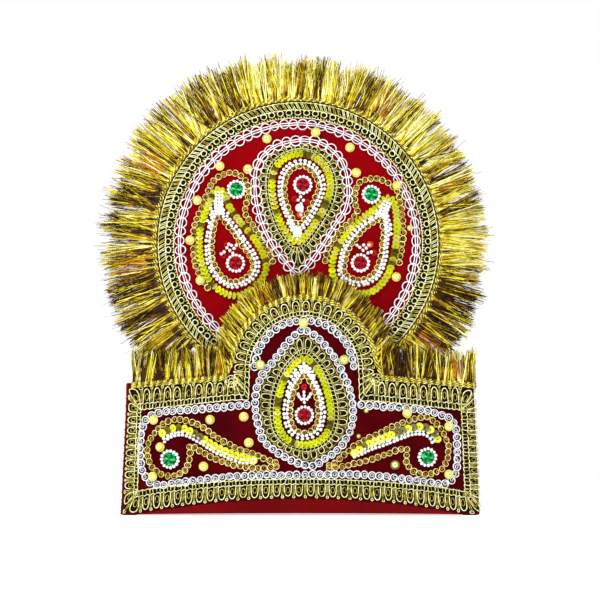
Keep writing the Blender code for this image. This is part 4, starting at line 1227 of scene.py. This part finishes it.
def make_halo_fringe():
    angles = np.linspace(-HALO_FRINGE_END, HALO_FRINGE_END, 300)
    number = (angles + HALO_FRINGE_END) / HALO_FRINGE_END * 37
    lengths = lock_length(number, halo_fringe_tip(angles) - HALO_BRAID[0] + 2.5)
    directions = halo_point(1.0, angles) - halo_point(0.0, angles)
    # browner low down, and most of all low on the left
    gloom = 0.35 + 0.06 * (1.0 - np.cos(np.radians(angles))) + 0.38 * np.exp(-((angles + 108) / 22) ** 2)
    gloom += 0.3 * np.exp(-((angles - 120) / 20) ** 2) + 0.12 * np.exp(-((angles + 65) / 26) ** 2)
    piece = Piece("halo_fringe_strands")
    lay_strands(piece, halo_face, halo_point(HALO_BRAID[0] + 1.2, angles), directions, lengths, gloom,
                density=16.0, spread=0.12, lift=0.02, lock_width=1.2)
    arc = np.linspace(-HALO_LACE_END, HALO_LACE_END, 300)
    bed = [halo_point(radius, arc) for radius in np.linspace(HALO_BRAID[0], HALO_BRAID[1] - 0.2, 5)]
    cords = [(halo_point(radius, arc), w) for radius, w in ((101.35, 1.5), (102.6, 1.7), (103.85, 1.4))]
    lay_braid(piece, halo_face, bed, (0.3, 1.1, 1.2, 1.1, 0.3), cords)
    lay_cord(piece, halo_face, halo_point(100.35, arc), 1.3, 0.42, 5, False, BROWN)
    piece.build(FRINGE_LOOKS, "tinsel", ("halo_fringe",))


def band_braid_lines():
    """The braid's foot along the panel's top edge, with the fringe's direction and length there."""
    inset = BRAID_INSET + BRAID_WIDTH

    def level(start, end):
        return [(s, float(shoulder(s)) - inset, 0.0, 1.0, FRINGE_LENGTH) for s in np.linspace(start, end, 60)]

    rows = level(-121.0, HUMP_X - HUMP_RADIUS - 3.0)
    for angle in np.linspace(174, 6, 90):
        lean = math.radians(90 + max(-HUMP_FRINGE_LEAN, min(HUMP_FRINGE_LEAN, angle - 90)))
        x, z = hump_point(HUMP_RADIUS - inset, angle)
        rows.append((float(along(x, z)), z, math.cos(lean), math.sin(lean), HUMP_FRINGE_LENGTH))
    return np.array(rows + level(HUMP_X + HUMP_RADIUS + 3.0, 129.8))


def make_band_fringe():
    rows = band_braid_lines()
    roots, directions = rows[:, :2], rows[:, 2:4]
    lengths = lock_length(np.linspace(0, 70, len(rows)), rows[:, 4] + BRAID_WIDTH - 1.0)
    s = roots[:, 0]
    gloom = np.select([np.abs(s - HUMP_X) < HUMP_RADIUS, s > 95.0, s > 0.0], [0.62, 0.5, 0.85], 0.68)
    piece = Piece("band_fringe_strands")
    lay_strands(piece, loop_face, roots + directions * 0.8, directions, lengths, gloom,
                density=13.0, spread=0.09, lift=0.03, lock_width=0.9)
    bed = [roots + directions * step for step in (-0.1, 0.8, 1.7, 2.6, 3.2)]
    cords = [(roots + directions * step, w) for step, w in ((0.4, 1.8), (1.6, 2.0), (2.8, 1.8))]
    lay_braid(piece, loop_face, bed, (0.3, 1.3, 1.5, 1.3, 0.3), cords)
    piece.build(FRINGE_LOOKS, "tinsel", ("band_fringe",))


# silver loops and gold coils

SILVER_LOOP = ring_template(3.45, 0.42, 20)
SILVER_RING = ring_template(2.55, 0.42, 18)
SILVER_CURL = spiral_template(1.75, 0.5, 1.2, 0.28, 22)
COIL_RING = ring_template(2.05, 0.3, 16)
COIL_CURL = spiral_template(1.4, 0.4, 1.15, 0.26, 18)
CURL_SPIN = 2.2  # how far round its ring a curl starts, in radians


def lay_thread(piece, face, line, across):
    """A thin cord that keeps to one side of a line and holds its loops down."""
    distance = line.steps(2.5)
    spots, _, side = line.frame_at(distance)
    jitter = across + RNG.normal(0, 0.12, len(distance))
    w = 1.9 + 0.15 * np.sin(distance * 1.9)
    lay_cord(piece, face, spots + side * jitter[:, None], w, 0.4, 5, line.closed)


def lay_ribbon(piece, face, line, half, heights, material):
    """A ribbon that lies under a chain, along a line."""
    spots, _, side = line.frame_at(line.steps(2.0))
    ribbon = spots[:, None] + side[:, None] * np.linspace(-half, half, 5)[None, :, None]
    lay_sheet(piece, face, ribbon, np.array(heights)[None], material, line.closed)


def ring_chain(piece, face, line, template, pitch, w, tilt, material=0, vary=0.1, spin=None):
    """Rings of cord side by side along a line, each tipped and sized a little differently.

    tilt is how far they tip, vary how far their sizes differ and spin how far each is turned round.
    """
    spots, tangent, side = line.frame_at(line.even(pitch, 0.5))
    count = len(spots)
    spots = spots + side * RNG.normal(0, 0.18, count)[:, None] + tangent * RNG.normal(0, 0.2, count)[:, None]
    origins, axes = seats(face, spots, w, tangent)
    tips = RNG.normal(0, tilt, (count, 2))
    if spin is not None:
        angle = (spin + RNG.normal(0, 0.35, count))[:, None]
        first, second = axes[:, 0].copy(), axes[:, 1].copy()
        axes[:, 0] = first * np.cos(angle) + second * np.sin(angle)
        axes[:, 1] = second * np.cos(angle) - first * np.sin(angle)
    for k in (0, 1):
        scale = RNG.uniform(1 - vary, 1 + vary, count)[:, None]
        axes[:, k] = axes[:, k] * scale + axes[:, 2] * tips[:, k:k + 1]
    piece.stamp(template, origins, axes, material)


def make_silver():
    arc = np.linspace(-HALO_LACE_END, HALO_LACE_END, 200)
    for name, points, closed, face, threaded in (
        ("halo", halo_point(HALO_SILVER_RADIUS, arc), False, halo_face, True),
        ("halo_drop", column(HALO_DROP, 0, 8), True, halo_face, True),
        ("arch", hump_point(HUMP_SILVER_RADIUS, np.linspace(0, 180, 60)), False, band_face, False),
        ("band_drop", column(BAND_DROP, 0, 8), True, band_face, False),
        ("left_field", smooth(LEFT_FIELD, 8, False), False, band_face, False),
        ("right_field", smooth(RIGHT_FIELD, 8, False), False, band_face, False),
    ):
        node = name + "_silver_trim"
        piece = Piece(node + "_loops")
        line = Line(points, closed)
        if threaded:
            # large loops held down by two threads
            ring_chain(piece, face, line, SILVER_LOOP, pitch=6.7, w=1.25, tilt=0.14, vary=0.17)
            for across in (-0.75, 0.75):
                lay_thread(piece, face, line, across)
        else:
            # rings on a ribbon painted dark for the shade under them, each with a curl in it
            lay_ribbon(piece, face, line, half=2.2, heights=(0.1, 0.5, 0.6, 0.5, 0.1), material=1)
            ring_chain(piece, face, line, SILVER_RING, pitch=5.1, w=1.3, tilt=0.14)
            ring_chain(piece, face, line, SILVER_CURL, pitch=5.1, w=1.5, tilt=0.2, spin=CURL_SPIN)
        piece.build(looks("silver", "silver_bed_painted_shade"), "silver_trim", (node,))


def make_coils():
    """Chains of small rings on a cord painted dark for the shade under them, each with a turn of copper wire
    in it.
    """
    coils = [(name + "_inner_coil", column(rows, first + 2, 8), True, face)
             for name, rows, first, face in MOTIFS]
    coils += [
        ("left_paisley_outer_coil", smooth(LEFT_PAISLEY_COIL, 6, False), False, halo_face),
        ("right_paisley_outer_coil", smooth(RIGHT_PAISLEY_COIL, 6, False), False, halo_face),
        ("left_curl_coil", smooth(LEFT_CURL_COIL, 6, True), True, band_face),
        ("right_curl_coil", smooth(RIGHT_CURL_COIL, 6, True), True, band_face),
    ]
    for node, points, closed, face in coils:
        piece = Piece(node + "_rings")
        line = Line(points, closed)
        lay_ribbon(piece, face, line, half=1.6, heights=(0.15, 0.7, 0.8, 0.7, 0.15), material=2)
        ring_chain(piece, face, line, COIL_RING, pitch=4.3, w=1.3, tilt=0.16)
        ring_chain(piece, face, line, COIL_CURL, pitch=4.3, w=1.4, tilt=0.2, material=1, spin=CURL_SPIN)
        piece.build(looks("coil", "coil_heart", "dark_bed_painted_shade"), "gold_coil", (node,))


# sequins and beads

CUP = turned_template((
    (0.45, 0.1), (1.5, 0.0), (2.3, 0.35), (2.75, 0.85), (2.65, 0.98), (2.2, 0.5), (1.5, 0.18), (0.5, 0.26),
), 14, False, False)
BEAD = bead_template(1.32, 1.16)
BEAD_STEP = 2.3  # from bead to bead on one stitch
BEADING = looks("sequin", "sequin_pale", "sequin_olive", "bead")
LIME_CUP, PALE_CUP, OLIVE_CUP, WHITE_BEAD = range(4)


def tilted(axes, tip):
    """Axes turned about their side by an angle, for sequins that overlap like tiles."""
    turned = axes.copy()
    c, s = np.cos(tip)[:, None], np.sin(tip)[:, None]
    turned[:, 0] = axes[:, 0] * c + axes[:, 2] * s
    turned[:, 2] = axes[:, 2] * c - axes[:, 0] * s
    return turned


def sequin_row(piece, face, line, pitch, tip, w, scale, olive, pale):
    """Overlapping cup sequins along a line, tipped back. olive and pale are the shares of those colours."""
    spots, tangent, _ = line.frame_at(line.even(pitch, 0.5))
    count = len(spots)
    origins, axes = seats(face, spots, w, tangent)
    axes = tilted(axes, tip + RNG.normal(0, 0.1, count))
    axes = axes * (scale * RNG.uniform(0.94, 1.04, count))[:, None, None]
    draw = RNG.uniform(0, 1, count)
    kinds = np.select([draw < olive, draw < olive + pale], [OLIVE_CUP, PALE_CUP], LIME_CUP)
    piece.stamp(CUP, origins, axes, kinds)


def lay_beads(piece, face, spots, w, uneven, direction, material):
    """Seed beads that lie unevenly and differ a little in size."""
    origins, axes = seats(face, spots, w + RNG.normal(0, uneven, len(spots)), direction)
    piece.stamp(BEAD, origins, axes * RNG.uniform(0.93, 1.07, len(spots))[:, None, None], material)


def bead_bars(piece, face, near, far, closed, pitch, w):
    """Bars of seed beads side by side, each laid from the near line towards the far line on one stitch."""
    near, far = Line(near, closed), Line(far, closed)
    distance = near.even(pitch, 0.5)
    # the same place in the numbering of both lines
    share = np.interp(distance, near.reach, np.linspace(0, 1, len(near.reach)))
    reach = np.interp(share, np.linspace(0, 1, len(far.reach)), far.reach)
    start, tangent, _ = near.frame_at(distance)
    way = far.at(reach) - start
    gap = np.linalg.norm(way, axis=1)
    bar = unit(unit(way) + tangent * RNG.normal(0.18, 0.1, len(gap))[:, None])
    counts = np.maximum(2, np.floor((gap + 0.6) / BEAD_STEP).astype(int))
    for k in range(counts.max()):
        some = counts > k
        reach = 0.6 + BEAD_STEP * k + RNG.normal(0, 0.1, some.sum())
        lay_beads(piece, face, start[some] + bar[some] * reach[:, None], w, 0.12, bar[some], WHITE_BEAD)


def point_beads(piece, face, start, end):
    """Three short columns of beads that fill a drop's point."""
    gap = np.linalg.norm(end - start)
    ahead = (end - start) / gap
    cross = np.array([ahead[1], -ahead[0]])
    for aside, first, last in ((-2.2, 1.2, gap - 6.5), (0.0, 1.0, gap - 5.0), (2.2, 1.2, gap - 6.5)):
        reach = np.arange(first, last, BEAD_STEP)
        if len(reach):
            spots = start + ahead * reach[:, None] + cross * aside
            piece.stamp(BEAD, *seats(face, spots, 1.7, np.tile(ahead, (len(reach), 1))), WHITE_BEAD)


def make_beading():
    for name, rows, first, face in MOTIFS:
        outer = shifted(picked(column(rows, first, 12), 120), SEQUIN_HALF)
        inner = shifted(picked(column(rows, first + 2, 12), 120), BEAD_CLEAR)
        piece = Piece(name + "_sequins_and_beads")
        sequin_row(piece, face, Line(between(outer, inner, 0.24), True),
                   pitch=3.1, tip=0.85, w=2.0, scale=0.98, olive=0.1, pale=0.2)
        bead_bars(piece, face, shifted(inner, -0.7), between(outer, inner, 0.5), True, pitch=2.8, w=1.5)
        point_beads(piece, face, inner[0], outer[0])
        piece.build(BEADING, "sequin", (name + "_beading",))
    for name, rows in (("left_curl", LEFT_CURL), ("right_curl", RIGHT_CURL)):
        sequins = smooth([row[:2] for row in rows], 8, False)
        beads = smooth([row[2:] for row in rows], 8, False)
        piece = Piece(name + "_sequins_and_beads")
        sequin_row(piece, band_face, Line(sequins, False),
                   pitch=4.1, tip=0.34, w=1.9, scale=1.06, olive=0.18, pale=0.15)
        near, far = between(beads, sequins, -0.25), between(beads, sequins, 0.3)
        bead_bars(piece, band_face, near, far, False, pitch=2.7, w=1.4)
        piece.build(BEADING, "sequin", (name + "_beading",))


# stones and pearls

def stone_template(radius, sides=12):
    """A round cut stone: girdle, two rows of crown facets and a table, each facet plain, painted in shade or
    painted with a glint.
    """
    rings = ((radius, 0.6, 0.5), (radius, 1.5, 0.5), (radius * 0.8, 2.6, 0.0), (radius * 0.56, 3.3, 0.5))
    shape = []
    for r, w, phase in rings:
        a = 2 * math.pi * (np.arange(sides) + phase) / sides
        shape.append(np.stack([r * np.cos(a), r * np.sin(a), np.full(sides, w)], -1))
    shape.append(np.array([[0.0, 0.0, 3.3]]))
    facets = []
    for i in range(sides):
        j = (i + 1) % sides
        facets += [
            ((i, j, sides + j, sides + i), 1),
            ((sides + i, sides + j, 2 * sides + j), (0, 1, 2, 1)[i % 4]),
            ((2 * sides + i, sides + i, 2 * sides + j), (1, 0, 0, 2)[i % 4]),
            ((2 * sides + i, 2 * sides + j, 3 * sides + i), (2, 0, 1)[i % 3]),
            ((2 * sides + j, 3 * sides + j, 3 * sides + i), (0, 1, 0)[i % 3]),
        ]
    # the table is cut in wedges with painted shade and painted glints, as the facets below show through it
    for i in range(sides):
        facets.append(((3 * sides + i, 3 * sides + (i + 1) % sides, 4 * sides), (0, 1, 2, 0, 1, 0)[i % 6]))
    faces, kinds = zip(*facets)
    return np.concatenate(shape), faces, kinds


STONE = stone_template(4.9)
STONE_RING = 5.75  # radius of the ring of beads round a stone
STONE_BEAD_PITCH = 2.35
PEARL_CUP = turned_template(((3.2, 0.0), (3.35, 0.7), (3.2, 1.2), (2.85, 1.35), (2.3, 1.1), (1.4, 0.9)), 22)
PEARL_CORE = turned_template(((1.9, 0.8), (2.2, 1.5), (1.95, 2.15), (1.25, 2.6), (0.35, 2.72)), 18, False)
PEARL_HOLE = turned_template(((0.36, 2.74), (0.12, 2.55)), 8, True, False)
PEARL_LOOKS = looks("pearl_cup", "pearl", "sequin_olive", "dark_bed_painted_shade", "lime_cup")
CUP_KINDS = {"cream": 0, "olive": 2, "lime": 4}

# pearls that have no solid: x, z, w of the base, kind, size
LOOSE_PEARLS = (
    ("halo", halo_face, ((-70, 164.5, ON_TRIM, "cream", 1.0), (78, 202, SEAT, "cream", 0.6))),
    ("band", band_face, (
        (30.4, 108, ON_TRIM, "lime", 1.0), (46, 72.8, SEAT, "olive", 0.55), (40.7, 55, SEAT, "olive", 0.5))),
)


def make_stones():
    a = np.linspace(0, 2 * math.pi, 60)[:-1]
    for stones, face in ((HALO_STONES, halo_face), (BAND_STONES, band_face)):
        for name, x, z, colour in stones:
            gem = Piece(name + "_cut")
            gem.stamp(STONE, *seat_at(face, x, z, SEAT, (0.3, 1.0)))
            # the facets are plain, painted in shade or painted with glints
            gem.build(looks(colour, colour + "_painted_shade", colour + "_glint"), colour, (name,), flat=True)
            ring = Piece(name + "_bead_ring")
            line = Line(np.array([x, z]) + STONE_RING * np.stack([np.cos(a), np.sin(a)], -1), True)
            spots, tangent, side = line.frame_at(line.even(STONE_BEAD_PITCH, 0.5))
            spots = spots + side * RNG.normal(0, 0.1, len(spots))[:, None]
            lay_beads(ring, face, spots, 1.35, 0.1, tangent, 0)
            ring.build(looks("bead"), colour)


def stamp_pearl(piece, origins, axes, kind, shift=0.0):
    """A pearl in its cup, with its hole painted dark for the shade in it. shift sets it off the cup's middle.
    """
    piece.stamp(PEARL_CUP, origins, axes, CUP_KINDS[kind])
    origins = origins + axes[:, 0] * shift
    piece.stamp(PEARL_CORE, origins, axes, 1)
    piece.stamp(PEARL_HOLE, origins, axes, 3)


def make_pearls():
    for group, pearls, face in (("halo", HALO_PEARLS, halo_face), ("band", BAND_PEARLS, band_face)):
        for number, (x, z, w, kind) in enumerate(pearls, 1):
            name = f"{group}_pearl_{number:02d}"
            piece = Piece(name + "_dome")
            turn = RNG.uniform(0, 6.28)
            stamp_pearl(piece, *seat_at(face, x, z, w, (math.cos(turn), math.sin(turn))), kind, 0.2)
            piece.build(PEARL_LOOKS, "pearl", (name,))


def make_loose_pearls():
    for group, face, pearls in LOOSE_PEARLS:
        piece = Piece(group + "_loose_pearls")
        for x, z, w, kind, size in pearls:
            origins, axes = seat_at(face, x, z, w)
            stamp_pearl(piece, origins, axes * size, kind)
        piece.build(PEARL_LOOKS, "pearl")


# small sprigs that are bare strands of seed beads: name, face, cups by x, z and colour, beads by x and z

RED_CUP, ORANGE_CUP, SPRIG_BEAD = range(3)
SPRIGS = (
    ("halo_drop", halo_face,
     ((-3.9, 221.9, RED_CUP), (4.9, 219.8, RED_CUP), (0, 210.7, ORANGE_CUP)),
     ((0.5, 223.5), (-1.2, 221.2), (2.4, 221), (0.8, 218.5), (-0.2, 215.8), (1.4, 213.2), (0.6, 210.6))),
    ("left_paisley", halo_face,
     ((-51.8, 189.5, RED_CUP), (-45.5, 187.9, RED_CUP), (-54.2, 182.3, RED_CUP)),
     ((-49.5, 185.5), (-47.4, 183.6), (-51.6, 187.4), (-50.3, 190), (-46.6, 187), (-45, 189.2),
      (-53.6, 184.6), (-55.6, 183.2), (-48.4, 189.2))),
    ("right_paisley", halo_face,
     ((49.5, 189.9, ORANGE_CUP), (43, 187.9, RED_CUP), (52.3, 183.9, RED_CUP)),
     ((44.5, 185.6), (46.8, 187.2), (42.2, 187.6), (48.8, 189.4), (40.2, 189.2), (50.4, 184.4), (48, 183.8),
      (45, 189.4))),
    ("band_drop", band_face,
     ((2.8, 89.2, RED_CUP), (-3.6, 84.6, RED_CUP), (9.2, 84.9, RED_CUP)),
     ((3, 78.4), (2.9, 80.8), (2.8, 83.2), (2.8, 85.6), (1, 80.6), (-0.5, 82.2), (-1.3, 84.2), (4.9, 80.6),
      (6.3, 82.2), (7.3, 84.2))),
)
# the small white dome in the middle of the halo drop's sprig
DOME = turned_template(((3.1, 0.0), (3.1, 0.7), (2.8, 1.5), (2.15, 2.2), (1.3, 2.65), (0.5, 2.8)), 20)


def make_sprigs():
    for name, face, cups, beads in SPRIGS:
        piece = Piece(name + "_sprig")
        cups, beads = np.array(cups, float), np.array(beads, float)
        origins, axes = seats(face, cups[:, :2], 0.35, np.tile([1.0, 0.0], (len(cups), 1)))
        piece.stamp(CUP, origins, axes * 0.86, cups[:, 2].astype(int))
        a = RNG.uniform(0, math.pi, len(beads))
        origins, axes = seats(face, beads, 1.35, np.stack([np.cos(a), np.sin(a)], -1))
        piece.stamp(BEAD, origins, axes * 0.95, SPRIG_BEAD)
        if name == "halo_drop":
            piece.stamp(DOME, *seat_at(face, -0.3, 215.6, SEAT), SPRIG_BEAD)
        piece.build(looks("red_cup", "orange_cup", "bead"), "sequin")


# stage, light and camera

def make_stage():
    size, drop = 12.0, -0.0002
    mesh = bpy.data.meshes.new("floor")
    mesh.from_pydata([(-size, -size, drop), (size, -size, drop), (size, size, drop), (-size, size, drop)],
                     [], [(0, 1, 2, 3)])
    mesh.materials.append(material("floor_white", (0.95, 0.95, 0.95), 0.9, {
        "Specular IOR Level": 0.05, "Emission Color": (1.0, 1.0, 1.0, 1.0), "Emission Strength": 0.45}))
    floor = bpy.data.objects.new("floor", mesh)
    bpy.context.scene.collection.objects.link(floor)
    world = bpy.data.worlds.new("studio")
    world.use_nodes = True
    nodes, links = world.node_tree.nodes, world.node_tree.links
    # a bright backdrop that lights the room less than it shows
    room = nodes["Background"]
    room.inputs["Color"].default_value = (1.0, 1.0, 1.0, 1.0)
    room.inputs["Strength"].default_value = 0.6
    backdrop = nodes.new("ShaderNodeBackground")
    backdrop.inputs["Color"].default_value = (1.0, 1.0, 1.0, 1.0)
    path, mix = nodes.new("ShaderNodeLightPath"), nodes.new("ShaderNodeMixShader")
    links.new(path.outputs["Is Camera Ray"], mix.inputs["Fac"])
    links.new(room.outputs["Background"], mix.inputs[1])
    links.new(backdrop.outputs["Background"], mix.inputs[2])
    links.new(mix.outputs["Shader"], nodes["World Output"].inputs["Surface"])
    bpy.context.scene.world = world
    for name, place, energy, size in (
        ("key", (-0.9, -1.5, 1.4), 27.0, 0.5),
        ("fill", (1.3, -1.4, 0.7), 5.0, 1.0),
        ("back", (0.3, 1.4, 1.5), 8.0, 1.0),
    ):
        data = bpy.data.lights.new(name, "AREA")
        data.energy = energy
        data.size = size
        lamp = bpy.data.objects.new(name, data)
        lamp.location = place
        aim(lamp, (0.0, 0.0, 0.15))
        bpy.context.scene.collection.objects.link(lamp)


def aim(thing, target):
    thing.rotation_mode = "QUATERNION"
    thing.rotation_quaternion = (Vector(target) - thing.location).to_track_quat("-Z", "Y")


def make_camera():
    """A camera in front that looks slightly up and shows the trims at the photo's scale."""
    plane_y, distance, height, aim_height = -0.04, 2.0, 0.028, 0.1481
    shown = 607 * 0.7 * MM  # the photo's height in pixels of 0.7 mm
    data = bpy.data.cameras.new("camera")
    data.sensor_width = 36.0
    data.lens = data.sensor_width * distance / shown
    data.clip_start, data.clip_end = 0.05, 50.0
    camera = bpy.data.objects.new("camera", data)
    camera.location = (-MIDDLE_X * MM, plane_y - distance, height)
    aim(camera, (-MIDDLE_X * MM, plane_y, aim_height))
    bpy.context.scene.collection.objects.link(camera)
    bpy.context.scene.camera = camera


bpy.context.scene.view_settings.view_transform = "Standard"
make_camera()
make_stage()
make_front_panel()
make_rear_band()
make_halo_board()
make_laces()
make_halo_fringe()
make_band_fringe()
make_silver()
make_coils()
make_beading()
make_stones()
make_pearls()
make_loose_pearls()
make_sprigs()

bpy.context.view_layer.update()
